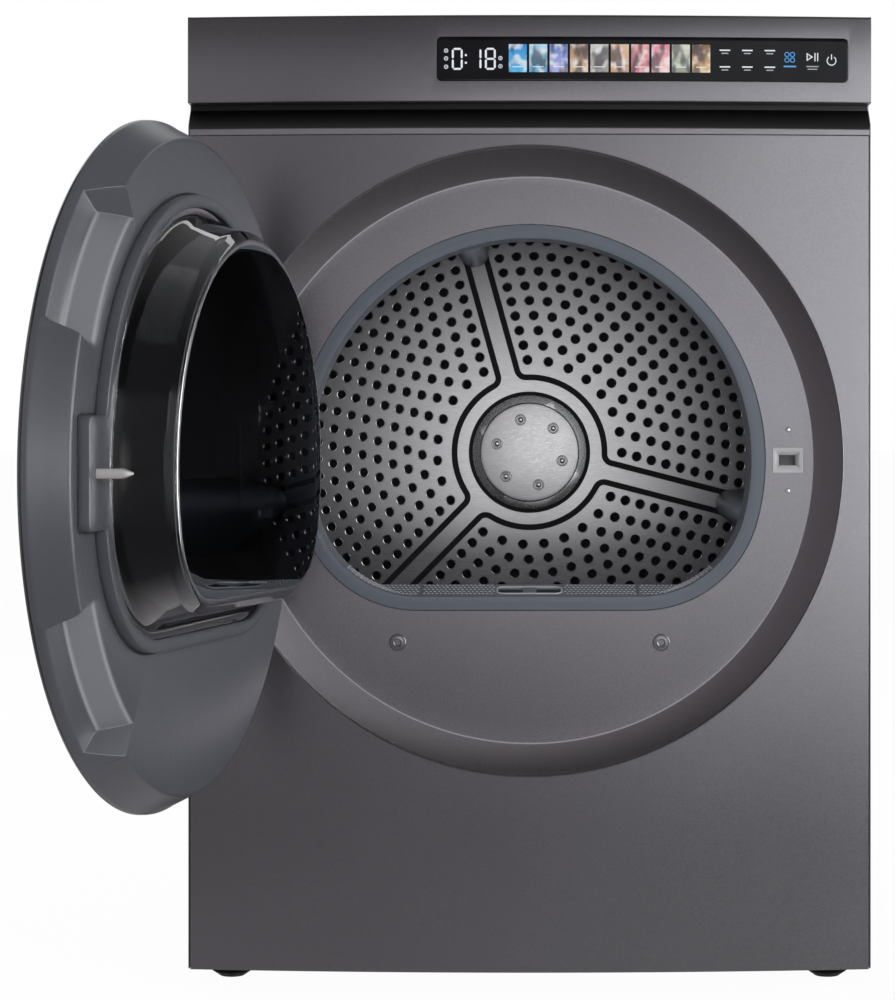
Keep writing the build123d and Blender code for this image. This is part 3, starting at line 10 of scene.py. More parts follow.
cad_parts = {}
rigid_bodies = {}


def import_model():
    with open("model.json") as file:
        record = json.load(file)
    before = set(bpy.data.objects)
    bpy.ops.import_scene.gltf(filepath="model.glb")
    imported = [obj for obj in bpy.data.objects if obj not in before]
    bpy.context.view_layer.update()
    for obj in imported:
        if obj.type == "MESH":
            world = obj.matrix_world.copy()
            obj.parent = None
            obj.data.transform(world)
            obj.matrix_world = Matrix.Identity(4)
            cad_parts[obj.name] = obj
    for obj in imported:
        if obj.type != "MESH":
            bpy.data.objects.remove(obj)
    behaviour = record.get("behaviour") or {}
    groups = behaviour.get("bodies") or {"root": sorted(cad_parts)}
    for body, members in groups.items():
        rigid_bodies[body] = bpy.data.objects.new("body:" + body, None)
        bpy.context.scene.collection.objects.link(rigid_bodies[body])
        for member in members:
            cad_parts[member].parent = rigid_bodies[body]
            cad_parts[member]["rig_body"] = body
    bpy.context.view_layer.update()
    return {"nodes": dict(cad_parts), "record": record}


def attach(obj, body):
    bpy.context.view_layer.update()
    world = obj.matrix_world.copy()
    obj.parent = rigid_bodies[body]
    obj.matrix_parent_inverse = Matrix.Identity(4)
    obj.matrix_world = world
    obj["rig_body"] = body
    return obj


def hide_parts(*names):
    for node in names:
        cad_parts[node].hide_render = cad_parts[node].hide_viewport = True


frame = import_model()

# Studio: a white room with the camera in front of the dryer, a little above the middle of the opening.
# A curved screen, dark on the left and bright on the right, stands in front for shiny surfaces to mirror.
# Soft lamps on the right, above and beside the camera light the matt surfaces.
CAMERA_PLACE = (0.030, -2.619, 0.5077)
CAMERA_LENS = 107.5
CAMERA_SENSOR = 36.0
CAMERA_SHIFT = (-0.082, -0.0955)
ROOM_LIGHT = 0.28
FLOOR_WHITE = 0.97
FLOOR_HALF = 30
SCREEN_CENTRE = 0.030
SCREEN_RADIUS = 1.30
SCREEN_SPREAD = 125.0
SCREEN_STEPS = 60
SCREEN_DARK = 0.14
SCREEN_PROFILE = [(0.04, 0.004), (0.6, 0.004), (0.9, 0.004), (1.15, 0.004), (1.27, 0.03),
                  (SCREEN_RADIUS, 0.15), (SCREEN_RADIUS, 0.5), (SCREEN_RADIUS, 0.9), (SCREEN_RADIUS, 1.3),
                  (1.2, 1.6), (0.95, 1.85), (0.5, 2.05), (0.02, 2.1), (-0.6, 2.05), (-1.2, 1.8)]
SIDE_LIGHT = [(-90, 0.45), (-45, 0.55), (-31, 0.64), (-22, 0.52), (-12, 0.54), (0, 0.70),
              (9, 1.20), (15, 1.62), (27, 2.0), (40, 2.0), (90, 1.4)]
SIDE_LIGHT_TOP = 2.0
STRIP_SIDES, STRIP_HALF, STRIP_LIGHT = (50.0, 96.0), 4.0, 16.0
SPOT_HEIGHT, SPOT_LIGHT = 0.5, 3.0


class Signal:
    """One output of a node, with arithmetic that adds Math nodes."""

    def __init__(self, graph, socket):
        self.graph = graph
        self.socket = socket

    def _math(self, operation, first, second):
        return self.graph.node("ShaderNodeMath", {"operation": operation}, {0: first, 1: second})

    def __add__(self, other):
        return self._math("ADD", self, other)

    def __sub__(self, other):
        return self._math("SUBTRACT", self, other)

    def __rsub__(self, other):
        return self._math("SUBTRACT", other, self)

    def __mul__(self, other):
        return self._math("MULTIPLY", self, other)

    def __pow__(self, other):
        return self._math("POWER", self, other)

    def __gt__(self, other):
        return self._math("GREATER_THAN", self, other)

    def __lt__(self, other):
        return self._math("LESS_THAN", self, other)

    __radd__ = __add__
    __rmul__ = __mul__


class Graph:
    """A node tree that is filled by one call for each node."""

    def __init__(self, tree):
        self.tree = tree

    def node(self, kind, settings=None, sockets=None, output=0):
        made = self.tree.nodes.new(kind)
        for setting, value in (settings or {}).items():
            if setting == "stops":
                ramp = made.color_ramp
                while len(ramp.elements) < len(value):
                    ramp.elements.new(1.0)
                for element, (place, colour) in zip(ramp.elements, value):
                    element.position = place
                    element.color = (*colour, 1.0)
            else:
                setattr(made, setting, value)
        for name, value in (sockets or {}).items():
            if isinstance(value, Signal):
                self.tree.links.new(value.socket, made.inputs[name])
            else:
                made.inputs[name].default_value = value
        return Signal(self, made.outputs[output])


class Finish(Graph):
    """A surface finish: one shader with fixed values, and signals fed to what varies."""

    def __init__(self, name, **fixed):
        self.material = bpy.data.materials.new(name)
        self.material.use_nodes = True
        super().__init__(self.material.node_tree)
        self.shader = self.tree.nodes["Principled BSDF"]
        self.outlet = self.tree.nodes["Material Output"]
        for name, value in fixed.items():
            self.shader.inputs[name.replace("_", " ").title().replace("Ior", "IOR")].default_value = value

    def feed(self, name, signal):
        self.tree.links.new(signal.socket, self.shader.inputs[name])

    def fed(self, name):
        return Signal(self, self.shader.inputs[name].links[0].from_socket)

    def surface(self, signal):
        self.tree.links.new(signal.socket, self.outlet.inputs["Surface"])

    def place(self, stretch=(1, 1, 1), centre=(0, 0, 0)):
        spot = self.node("ShaderNodeTexCoord", output="Object")
        moved = {"Vector": spot, "Location": [-c * s for c, s in zip(centre, stretch)], "Scale": stretch}
        return self.node("ShaderNodeMapping", {}, moved)

    def axes(self, spot):
        return [self.node("ShaderNodeSeparateXYZ", {}, {0: spot}, axis) for axis in range(3)]

    def noise(self, scale, detail=2.0, stretch=(1, 1, 1), rough=0.5):
        sockets = {"Vector": self.place(stretch), "Scale": scale, "Detail": detail, "Roughness": rough}
        return self.node("ShaderNodeTexNoise", {}, sockets)

    def ramp(self, signal, *stops):
        return self.node("ShaderNodeValToRGB", {"stops": stops}, {0: signal})

    def spread(self, signal, low, high, start=0.0, end=1.0):
        sockets = {0: signal, 1: start, 2: end, 3: low, 4: high}
        return self.node("ShaderNodeMapRange", {"clamp": True}, sockets)

    def mix(self, factor, first, second):
        sockets = {0: factor, 6: first, 7: second}
        return self.node("ShaderNodeMix", {"data_type": "RGBA"}, sockets, 2)

    def bump(self, height, distance, strength=1.0):
        sockets = {"Height": height, "Distance": distance, "Strength": strength}
        self.feed("Normal", self.node("ShaderNodeBump", {}, sockets))


def background_rays(graph):
    """One where a ray from the camera, a mirror or glass meets the background, zero elsewhere."""
    rays = graph.node("ShaderNodeLightPath", output="Is Camera Ray")
    for kind in ("Is Glossy Ray", "Is Transmission Ray"):
        seen = graph.node("ShaderNodeLightPath", output=kind)
        rays = graph.node("ShaderNodeMath", {"operation": "MAXIMUM"}, {0: rays, 1: seen})
    return rays


def mesh_of(name, points, faces=()):
    """New mesh from points in metres."""
    mesh = bpy.data.meshes.new(name)
    mesh.from_pydata(np.asarray(points).tolist(), [], faces)
    return mesh


def shown(name, data):
    """New object in the scene."""
    holder = bpy.data.objects.new(name, data)
    scene.collection.objects.link(holder)
    return holder


scene = bpy.context.scene
scene.view_settings.view_transform = "Standard"
world = bpy.data.worlds.new("white_room")
world.use_nodes = True
scene.world = world
room = Graph(world.node_tree)
level = ROOM_LIGHT + (1 - ROOM_LIGHT) * background_rays(room)
world.node_tree.links.new(level.socket, world.node_tree.nodes["Background"].inputs["Strength"])
world.node_tree.nodes["Background"].inputs["Color"].default_value = (1, 1, 1, 1)

lens = bpy.data.cameras.new("camera")
lens.lens = CAMERA_LENS
lens.sensor_width = CAMERA_SENSOR
lens.shift_x, lens.shift_y = CAMERA_SHIFT
camera = shown("camera", lens)
camera.location = CAMERA_PLACE
camera.rotation_euler = (math.pi / 2, 0, 0)
scene.camera = camera

floor_corners = [(FLOOR_HALF * x, FLOOR_HALF * y, 0) for x, y in ((-1, -1), (1, -1), (1, 1), (-1, 1))]
floor = shown("floor", mesh_of("floor", floor_corners, [(0, 1, 2, 3)]))
pale = Finish("pale_floor", base_color=(0.9, 0.9, 0.9, 1), roughness=0.9)
glow = pale.node("ShaderNodeEmission", {}, {"Color": (1, 1, 1, 1), "Strength": 1.0})
share = FLOOR_WHITE * background_rays(pale)
matt = Signal(pale, pale.shader.outputs[0])
pale.surface(pale.node("ShaderNodeMixShader", {}, {0: share, 1: matt, 2: glow}))
floor.data.materials.append(pale.material)

screen_points, screen_faces = [], []
for step in range(SCREEN_STEPS + 1):
    turn = math.radians(-SCREEN_SPREAD + 2 * SCREEN_SPREAD * step / SCREEN_STEPS)
    screen_points += [(SCREEN_CENTRE + r * math.sin(turn), -r * math.cos(turn), z) for r, z in SCREEN_PROFILE]
for step in range(SCREEN_STEPS):
    for row in range(len(SCREEN_PROFILE) - 1):
        near = step * len(SCREEN_PROFILE) + row
        far = near + len(SCREEN_PROFILE)
        screen_faces.append((near, far, far + 1, near + 1))
screen = shown("screen", mesh_of("screen", screen_points, screen_faces))
screen.data.shade_smooth()
shade = Finish("shaded_screen")
x, y, z = shade.axes(shade.place((1, 1, 1), (SCREEN_CENTRE, 0, 0)))
swing = shade.node("ShaderNodeMath", {"operation": "ARCTAN2"}, {0: x, 1: y * -1.0}) * math.degrees(1)
side_share = shade.spread(swing, 0.0, 1.0, -90.0, 90.0)
tone = shade.node("ShaderNodeFloatCurve", {}, {"Factor": 1.0, "Value": side_share})
mapping = tone.socket.node.mapping
curve = mapping.curves[0]
first, second, *others = [((side + 90) / 180, light / SIDE_LIGHT_TOP) for side, light in SIDE_LIGHT]
curve.points[0].location, curve.points[1].location = first, second
for place, value in others:
    curve.points.new(place, value)
mapping.update()
strip = 0.0
for side in STRIP_SIDES:
    strip += shade.node("ShaderNodeMath", {"operation": "COMPARE"}, {0: swing, 1: side, 2: STRIP_HALF})
reach = (x * x + (z - SPOT_HEIGHT) * (z - SPOT_HEIGHT)) ** 0.5
spot = shade.spread(reach, 1.0, 0.0, 0.05, 0.24) * shade.spread(y, 1.0, 0.0, -1.2, -1.0)
body = shade.spread(z, 0.0, 1.0, 0.02, 0.30) * shade.spread(z, 1.0, 0.0, 0.97, 1.10)
ground = shade.spread((x * x + y * y) ** 0.5, 0.44, 0.26, 0.5, 0.95)
dim = SCREEN_DARK + (ground - SCREEN_DARK) * shade.spread(z, 1.0, 0.0, 0.1, 0.4)
strength = dim + (tone * SIDE_LIGHT_TOP - dim + strip * STRIP_LIGHT + spot * SPOT_LIGHT) * body
tint = shade.mix(shade.spread(swing, 0.0, 1.0, -12.0, 14.0), (1.02, 0.965, 1.01, 1), (0.985, 1.005, 1.01, 1))
shade.surface(shade.node("ShaderNodeEmission", {}, {"Color": tint, "Strength": strength}))
screen.data.materials.append(shade.material)
for sense in ("visible_camera", "visible_diffuse", "visible_shadow", "visible_transmission"):
    setattr(screen, sense, False)


def lamp(name, place, aim, size, power):
    """Square soft lamp turned towards a point."""
    light = bpy.data.lights.new(name, "AREA")
    light.size = size
    light.energy = power
    holder = shown(name, light)
    holder.location = place
    holder.rotation_euler = (Vector(aim) - Vector(place)).to_track_quat("-Z", "Y").to_euler()
    holder.visible_glossy = False


lamp("key_lamp", (2.0, -2.6, 1.7), (-0.1, 0, 0.45), 1.0, 36)
lamp("front_lamp", (0.3, -3.0, 0.9), (0, 0.2, 0.45), 0.9, 9)
lamp("top_lamp", (-0.4, -0.6, 3.2), (0, 0, 0.5), 2.2, 28)
lamp("back_lamp", (-1.8, 2.6, 2.0), (0, 0, 0.4), 2.0, 40)

# Base pan and levelling feet: a black moulded tray that carries everything, with a boss for each foot.
# The feet are black plastic pads on threaded studs, screwed into the bosses from below.
MILLIMETRE = 0.001
MERGE_DISTANCE = 1e-5
FLAT_ANGLE, EDGE_ANGLE, CREASE = 0.4, 40.0, 32.0


def smooth(mesh, angle=CREASE):
    """Smooth shading with every edge sharper than the angle kept crisp."""
    mesh.shade_smooth()
    mesh.set_sharp_from_angle(angle=math.radians(angle))


def baked(holder):
    """Replaces an object's mesh by what its modifiers make of it, and removes them."""
    graph = bpy.context.evaluated_depsgraph_get()
    mesh = bpy.data.meshes.new_from_object(holder.evaluated_get(graph))
    holder.modifiers.clear()
    old = holder.data
    holder.data = mesh
    mesh.name = holder.name
    bpy.data.meshes.remove(old)


def mount(holder, body, slot, *nodes):
    """Fixes a finished piece to a body and hides the CAD nodes that it stands for; the slot is not used."""
    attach(holder, body)
    if nodes:
        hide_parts(*nodes)


slot_of = {row["node"]: row["material_slot"] for row in frame["record"]["subparts"]}


def dressed(node, finish, edge=0.0, angle=CREASE, cut=None):
    """Merged, smooth copy of a CAD node with rounded edges and, where given, an eight-cornered cut."""
    source = frame["nodes"][node]
    mesh = source.data.copy()
    mesh.name = node + "_piece"
    shape = bmesh.new()
    shape.from_mesh(mesh)
    bmesh.ops.remove_doubles(shape, verts=shape.verts, dist=MERGE_DISTANCE)
    bmesh.ops.dissolve_limit(shape, angle_limit=math.radians(FLAT_ANGLE),
                             verts=shape.verts, edges=shape.edges)
    shape.to_mesh(mesh)
    shape.free()
    mesh.materials.clear()
    mesh.materials.append(finish.material)
    holder = shown(node + "_piece", mesh)
    if edge:
        rounding = holder.modifiers.new("rounding", "BEVEL")
        rounding.width = edge * MILLIMETRE
        rounding.segments = 2
        rounding.limit_method = "ANGLE"
        rounding.angle_limit = math.radians(EDGE_ANGLE)
        rounding.use_clamp_overlap = True
        baked(holder)
    if cut:
        carve(holder, *boxes(cut), angle)
    smooth(holder.data, angle)
    mount(holder, source["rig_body"], slot_of[node], node)


def grained(name, colour, roughness, grain=1400.0, depth=0.00004, drift=0.10, **fixed):
    """Moulded, cast or painted finish: a fine grain in the surface and a slow drift of its tone."""
    finish = Finish(name, **fixed)
    cloud = finish.noise(9.0, 3.0)
    speck = finish.noise(grain, 1.0)
    tone = finish.spread(cloud * 0.7 + speck * 0.3, 0.0, 1.0, 0.3, 0.7)
    dark, light = (tuple(min(1.0, c * k) for c in colour) for k in (1 - drift, 1 + drift))
    finish.feed("Base Color", finish.ramp(tone, (0, dark), (1, light)))
    finish.feed("Roughness", finish.spread(speck, roughness * 0.88, min(1.0, roughness * 1.12), 0.3, 0.7))
    finish.bump(speck, depth)
    return finish


def wear(node, finish):
    """Gives a CAD node that stays as it is a finish."""
    mesh = frame["nodes"][node].data
    mesh.materials.clear()
    mesh.materials.append(finish.material)


black_plastic = grained("black_plastic", (0.022, 0.022, 0.023), 0.55, 900, 0.00006)
foot_plastic = grained("foot_plastic", (0.006, 0.006, 0.006), 0.7, 900, 0.00006, specular_ior_level=0.1)
dressed("base_pan", black_plastic, 0.8)
for corner in ("front_left", "front_right", "rear_left", "rear_right"):
    dressed("foot_" + corner, foot_plastic, 0.6)

# Side panels and rear panel: folded steel sheet, the sides in the grey metallic paint of the front.
# The rear is plain galvanised sheet with a vent, screwed to the sides' folded returns.
PAINT = (0.172, 0.166, 0.180)


def metal_paint(name, colour, gloss):
    """Satin metallic paint: fine bright flakes under a thin clear coat."""
    finish = Finish(name, metallic=0.93, coat_roughness=0.18, coat_weight=0.06)
    flake = finish.noise(5200, 0.0)
    cloud = finish.noise(5.0, 2.0)
    dark, light = (tuple(c * k for c in colour) for k in (0.90, 1.16))
    tone = finish.spread(cloud * 0.45 + flake * 0.55, 0.0, 1.0, 0.32, 0.68)
    finish.feed("Base Color", finish.ramp(tone, (0, dark), (0.7, colour), (1, light)))
    finish.feed("Roughness", finish.spread(flake, gloss - 0.03, gloss + 0.05, 0.3, 0.7))
    finish.bump(finish.noise(2600, 1.0), 0.000012)
    return finish


side_paint = metal_paint("side_paint", PAINT, 0.34)
for side in ("left", "right"):
    dressed(side + "_side_panel", side_paint, 0.4)

galvanised = Finish("galvanised", metallic=0.9)
spangle = galvanised.node("ShaderNodeTexVoronoi", {}, {"Vector": galvanised.place(), "Scale": 70.0}, "Color")
shine = galvanised.node("ShaderNodeSeparateColor", {}, {0: spangle})
galvanised.feed("Base Color", galvanised.ramp(shine, (0, (0.40, 0.41, 0.42)), (1, (0.56, 0.57, 0.58))))
galvanised.feed("Roughness", galvanised.spread(shine, 0.32, 0.5))
galvanised.bump(galvanised.noise(900, 2.0), 0.00003)
dressed("rear_panel", galvanised, 0.3)

# Worktop: a laminated board with a painted face and softened edges.
# It rests on the side panels and is screwed to them from below.
worktop = grained("worktop", PAINT, 0.42, 1800, 0.00003, 0.07, metallic=0.3)
dressed("top_panel", worktop, 1.6)

# Front panel: one bowed steel pressing with the round door recess sunk into it and the opening cut out.
# It is painted metallic grey and hooks over the base pan and the bulkhead.
STORED_X, STORED_DEPTH = 30.0, -19.0
RING_HEIGHT, RING_RADIUS = 459.0, 273.0
RECESS_RADIUS, RECESS_DEPTH = 247.7, 7.0
RECESS_ROUND, RING_LAND, BORDER_ROUND = 1.6, 1.2, 0.08
CABINET_HALF, FRONT_BOW = 297.5, 16.5
BOW_RADIUS = (CABINET_HALF**2 + FRONT_BOW**2) / (2 * FRONT_BOW)
SHEET = 1.0
PANEL_HALF, PANEL_LOW, PANEL_TOP = 295.3, 16.0, 741.3
OPENING_RADIUS, OPENING_FLAT, OPENING_CORNER = 193.5, 118.7, 92.0
BEZEL_FACE = 12.2
LATCH_X, LATCH_HALF = 225.5, (13.1, 10.8)
HINGE_X, HINGE_SPREAD = -236.4, 45.0
ARM_NEAR, ARM_FAR, ARM_HALF = 13, 21, 5


def at(points):
    """Stored place in metres of (sideways, depth, height) points in millimetres."""
    points = np.asarray(points, float)
    return (points + (STORED_X, STORED_DEPTH, 0.0)) * MILLIMETRE


def bow(x, inset=0.0):
    """Depth of the bowed front at a sideways place, some millimetres below its surface."""
    return BOW_RADIUS - FRONT_BOW - np.sqrt((BOW_RADIUS - inset) ** 2 - np.square(x))


def d_radius(turn, growth, lift=0.0):
    """Distance from the ring's centre to the opening's D outline, grown evenly, over a raised sill."""
    reach = math.sqrt((OPENING_RADIUS - OPENING_CORNER) ** 2 - (OPENING_FLAT - OPENING_CORNER) ** 2)
    drop = OPENING_CORNER - OPENING_FLAT
    across, up = np.abs(np.cos(turn)), np.sin(turn)
    along = reach * across + drop * up
    corner = along + np.sqrt(np.maximum(along**2 - reach**2 - drop**2 + (OPENING_CORNER + growth) ** 2, 0))
    level = 1 / np.maximum(-up, 1e-6)
    flat = (OPENING_FLAT + growth) * level
    radius = np.where(up * reach >= drop * across, OPENING_RADIUS + growth, corner)
    radius = np.where((up < 0) & (flat * across <= reach), flat, radius)
    return np.minimum(radius, (OPENING_FLAT + growth - lift) * level)


def ring_loop(turn, radius, depth):
    """Points round the ring's axis."""
    depth = np.broadcast_to(depth, turn.shape)
    return np.stack([radius * np.cos(turn), depth, RING_HEIGHT + radius * np.sin(turn)], 1)


def front_loop(turn, radius, sink=0.0, inset=0.0):
    """Points round the ring's axis on the bowed front, moved straight back or below its surface."""
    return ring_loop(turn, radius, bow(radius * np.cos(turn), inset) + sink)


def skin_faces(rows, columns, round_rows=True, round_columns=False):
    """Faces between rows of points; either way may close on itself."""
    faces = []
    for row in range(rows if round_columns else rows - 1):
        near, far = row * columns, (row + 1) % rows * columns
        for column in range(columns if round_rows else columns - 1):
            after = (column + 1) % columns
            faces.append((near + column, near + after, far + after, far + column))
    return faces


def outward(mesh, merge=0.0):
    """Merges points that lie closer than a distance and turns a closed mesh's faces outwards."""
    shape = bmesh.new()
    shape.from_mesh(mesh)
    if merge:
        bmesh.ops.remove_doubles(shape, verts=shape.verts, dist=merge)
    bmesh.ops.recalc_face_normals(shape, faces=shape.faces)
    shape.to_mesh(mesh)
    shape.free()


def shaped(name, points, faces, finish, angle=CREASE, **marks):
    """Closed piece from points in stored metres, with any marks kept on its points."""
    mesh = mesh_of(name, points, faces)
    for mark_name, values in marks.items():
        attribute = mesh.attributes.new(mark_name, "FLOAT", "POINT")
        attribute.data.foreach_set("value", np.asarray(values, np.float32))
    outward(mesh, 1e-7)
    mesh.materials.append(finish.material)
    smooth(mesh, angle)
    return shown(name, mesh)


BOX_FACES = [(0, 1, 3, 2), (4, 6, 7, 5), (0, 4, 5, 1), (2, 3, 7, 6), (0, 2, 6, 4), (1, 5, 7, 3)]


def box_points(x, depth, z):
    """Corners of a box between pairs of limits in millimetres."""
    return [(a, b, c) for a in x for b in depth for c in z]


def boxes(*corner_sets):
    """Points in stored metres and faces of several boxes, each given by its eight corners in millimetres."""
    points, faces = [], []
    for corners in corner_sets:
        faces += [tuple(len(points) + corner for corner in face) for face in BOX_FACES]
        points += corners
    return at(points), faces


def carve(holder, points, faces, angle=CREASE):
    """Cuts a closed shape, given in stored metres, out of a piece."""
    mesh = mesh_of("cutter", points, faces)
    outward(mesh)
    cutter = shown("cutter", mesh)
    cut = holder.modifiers.new("cut", "BOOLEAN")
    cut.object = cutter
    cut.operation = "DIFFERENCE"
    cut.solver = "EXACT"
    baked(holder)
    bpy.data.objects.remove(cutter)
    bpy.data.meshes.remove(mesh)
    smooth(holder.data, angle)


front_paint = metal_paint("front_paint", PAINT, 0.27)
x, y, z = front_paint.axes(front_paint.place((1, 1, 1), (STORED_X * MILLIMETRE, 0, RING_HEIGHT * MILLIMETRE)))
reach = (x * x + z * z) ** 0.5
# The recess bevel gets a darker colour than the panel: painted shade for the dark surroundings it mirrors.
bevel_painted_shade = (reach > RECESS_RADIUS * MILLIMETRE) * (reach < RING_RADIUS * MILLIMETRE)
# A thin lighter band at the bevel's outer edge is a painted highlight.
painted_edge_highlight = (reach > (RING_RADIUS - 0.35) * MILLIMETRE) * (reach < (RING_RADIUS + 0.3) * MILLIMETRE)
ringed = front_paint.mix(bevel_painted_shade, front_paint.fed("Base Color"), (0.102, 0.094, 0.103, 1))
front_paint.feed("Base Color", front_paint.mix(painted_edge_highlight, ringed, (0.46, 0.45, 0.47, 1)))
edge_up = PANEL_TOP - RING_HEIGHT
edge_down = PANEL_LOW - RING_HEIGHT
corners = [math.atan2(z, x) % (2 * math.pi) for x in (-PANEL_HALF, PANEL_HALF) for z in (edge_down, edge_up)]
turn = np.unique(np.concatenate([np.linspace(0, 2 * math.pi, 480, endpoint=False), corners]))
with np.errstate(divide="ignore"):
    border = np.minimum(PANEL_HALF / np.abs(np.cos(turn)),
                        np.where(np.sin(turn) > 0, edge_up, -edge_down) / np.abs(np.sin(turn)))
ring_edge = float(bow(RING_RADIUS))
hole = d_radius(turn, BEZEL_FACE + 0.3)
lip_bow = bow(RING_RADIUS * np.cos(turn))
lip = np.clip(0.45 * (ring_edge - lip_bow), 0.12, 0.9)
floor_edge = RECESS_RADIUS - RECESS_ROUND
outer = RING_RADIUS + RING_LAND
rows = [ring_loop(turn, hole, RECESS_DEPTH + SHEET), ring_loop(turn, hole, RECESS_DEPTH + 0.3),
        ring_loop(turn, hole + 0.3, RECESS_DEPTH)]
rows += [ring_loop(turn, hole + (floor_edge - hole) * part, RECESS_DEPTH) for part in (0.3, 0.6, 0.85)]
rows += [ring_loop(turn, radius, depth) for radius, depth in (
    (floor_edge, RECESS_DEPTH), (RECESS_RADIUS - 0.5, RECESS_DEPTH - 0.06),
    (RECESS_RADIUS + 0.6, RECESS_DEPTH - 0.28), (RING_RADIUS - 1.0, ring_edge + 0.55),
    (RING_RADIUS - 0.25, ring_edge + 0.16), (RING_RADIUS, np.minimum(ring_edge - 0.02, lip_bow + lip)))]
rows += [front_loop(turn, RING_RADIUS + lip * part, lip * (1 - part) ** 2) for part in (0.0, 0.3, 1.0)]
rows += [front_loop(turn, outer + (border - BORDER_ROUND - outer) * part)
         for part in (0.06, 0.2, 0.4, 0.6, 0.8, 0.95)]
rows += [front_loop(turn, border - inset, sink)
         for inset, sink in ((BORDER_ROUND, 0.0), (0.0, BORDER_ROUND), (0.0, SHEET))]
rows += [front_loop(turn, outer + (border - outer) * part, 0.0, SHEET) for part in (0.7, 0.4, 0.1)]
rows += [front_loop(turn, RING_RADIUS + SHEET, 0.0, SHEET),
         ring_loop(turn, RING_RADIUS + SHEET, ring_edge + SHEET),
         ring_loop(turn, RECESS_RADIUS, RECESS_DEPTH + SHEET)]
panel_faces = skin_faces(len(rows), len(turn), True, True)
front = shaped("front_panel_pressing", at(np.concatenate(rows)), panel_faces, front_paint)
through = (RECESS_DEPTH - 3, RECESS_DEPTH + 4)
latch_hole = box_points((LATCH_X - LATCH_HALF[0], LATCH_X + LATCH_HALF[0]), through,
                        (RING_HEIGHT - LATCH_HALF[1], RING_HEIGHT + LATCH_HALF[1]))
hinge_slots = [box_points((HINGE_X + ARM_NEAR, HINGE_X + ARM_FAR), through, (arm - ARM_HALF, arm + ARM_HALF))
               for arm in (RING_HEIGHT - HINGE_SPREAD, RING_HEIGHT + HINGE_SPREAD)]
carve(front, *boxes(latch_hole, *hinge_slots))
mount(front, "cabinet", "front_paint", "front_panel")

# Control fascia: a bowed plastic moulding in the front's paint, with a window for the touch glass.
# It clips over the top of the cabinet; its left end is plain.
FASCIA_LOW, FASCIA_HIGH, FASCIA_DEPTH, FASCIA_WALL = 770.0, 845.0, 45.0, 2.5
END_LOW, END_FRONT, END_GAP = 829.0, 1.0, 0.01
WINDOW_LEFT, WINDOW_RIGHT, WINDOW_LOW, WINDOW_HIGH, WINDOW_CORNER = -80.0, 277.0, 787.8, 825.8, 4.0


def capped_faces(rows, columns):
    """Faces between rows of points that close on themselves, with a flat face at either end."""
    last = (rows - 1) * columns
    return skin_faces(rows, columns) + [tuple(range(columns)), tuple(range(last, last + columns))]


def bowed_strip(name, outline, half, finish, columns=72):
    """Closed strip along the front from (inset, height, straight) points; straight ones ignore its bow."""
    points = [(x, inset if straight else float(bow(x, inset)), z)
              for x in np.linspace(-half, half, columns) for inset, z, straight in outline]
    return shaped(name, at(points), capped_faces(columns, len(outline)), finish)


def rounded_corner(inset, z, inset_side, z_side, radius, steps=4):
    """Quarter circle of (inset, height) points from the face to the edge of a strip."""
    points = []
    for step in range(steps + 1):
        angle = math.pi / 2 * step / steps
        points.append((inset + inset_side * radius * (1 - math.cos(angle)),
                       z + z_side * radius * (math.sin(angle) - 1), False))
    return points


def window_loop(growth, sink):
    """Rounded outline of the display on the bowed front, grown and sunk by some millimetres."""
    left, right = WINDOW_LEFT - growth, WINDOW_RIGHT + growth
    low, high = WINDOW_LOW - growth, WINDOW_HIGH + growth
    corner = max(WINDOW_CORNER + growth, 0.05)
    points = []
    for x, z, start in ((right - corner, high - corner, 0), (left + corner, high - corner, 90),
                        (left + corner, low + corner, 180), (right - corner, low + corner, 270)):
        arc = np.radians(np.linspace(start, start + 90, 7))
        points += [(x + corner * math.cos(a), z + corner * math.sin(a)) for a in arc]
        if start in (0, 180):
            ends = (left + corner, right - corner) if start == 180 else (right - corner, left + corner)
            points += [(float(p), points[-1][1]) for p in np.linspace(*ends, 60)[1:-1]]
    across = np.array([p[0] for p in points])
    return np.stack([across, bow(across) + sink, [p[1] for p in points]], 1)


fascia_paint = metal_paint("fascia_paint", PAINT, 0.29)
outline = [(FASCIA_WALL, FASCIA_LOW, False), (1.2, FASCIA_LOW, False)]
outline += rounded_corner(0.0, FASCIA_LOW, 1, -1, 1.2)[::-1][1:]
outline += rounded_corner(0.0, FASCIA_HIGH, 1, 1, 2.2)
ceiling, lip_top = FASCIA_HIGH - FASCIA_WALL, FASCIA_LOW + FASCIA_WALL
outline += [(10.0, FASCIA_HIGH, True), (FASCIA_DEPTH, FASCIA_HIGH, True), (FASCIA_DEPTH, ceiling, True),
            (10.0, ceiling, True), (FASCIA_WALL, ceiling, False), (FASCIA_WALL, lip_top, False),
            (20.0, lip_top, False), (20.0, FASCIA_LOW, False)]
fascia = bowed_strip("control_fascia_moulding", outline, CABINET_HALF, fascia_paint)
window = [window_loop(0.3, sink) for sink in (-6.0, 8.0)]
carve(fascia, at(np.concatenate(window)), capped_faces(2, len(window[0])))
mount(fascia, "cabinet", "fascia_paint", "control_fascia")
end_boxes = [box_points(sorted((side * (CABINET_HALF - FASCIA_WALL), side * (CABINET_HALF - END_GAP))),
                        (END_FRONT, FASCIA_DEPTH - END_GAP), (END_LOW, FASCIA_HIGH - END_GAP))
             for side in (-1, 1)]
mount(shaped("fascia_ends", *boxes(*end_boxes), fascia_paint), "cabinet", "fascia_paint")

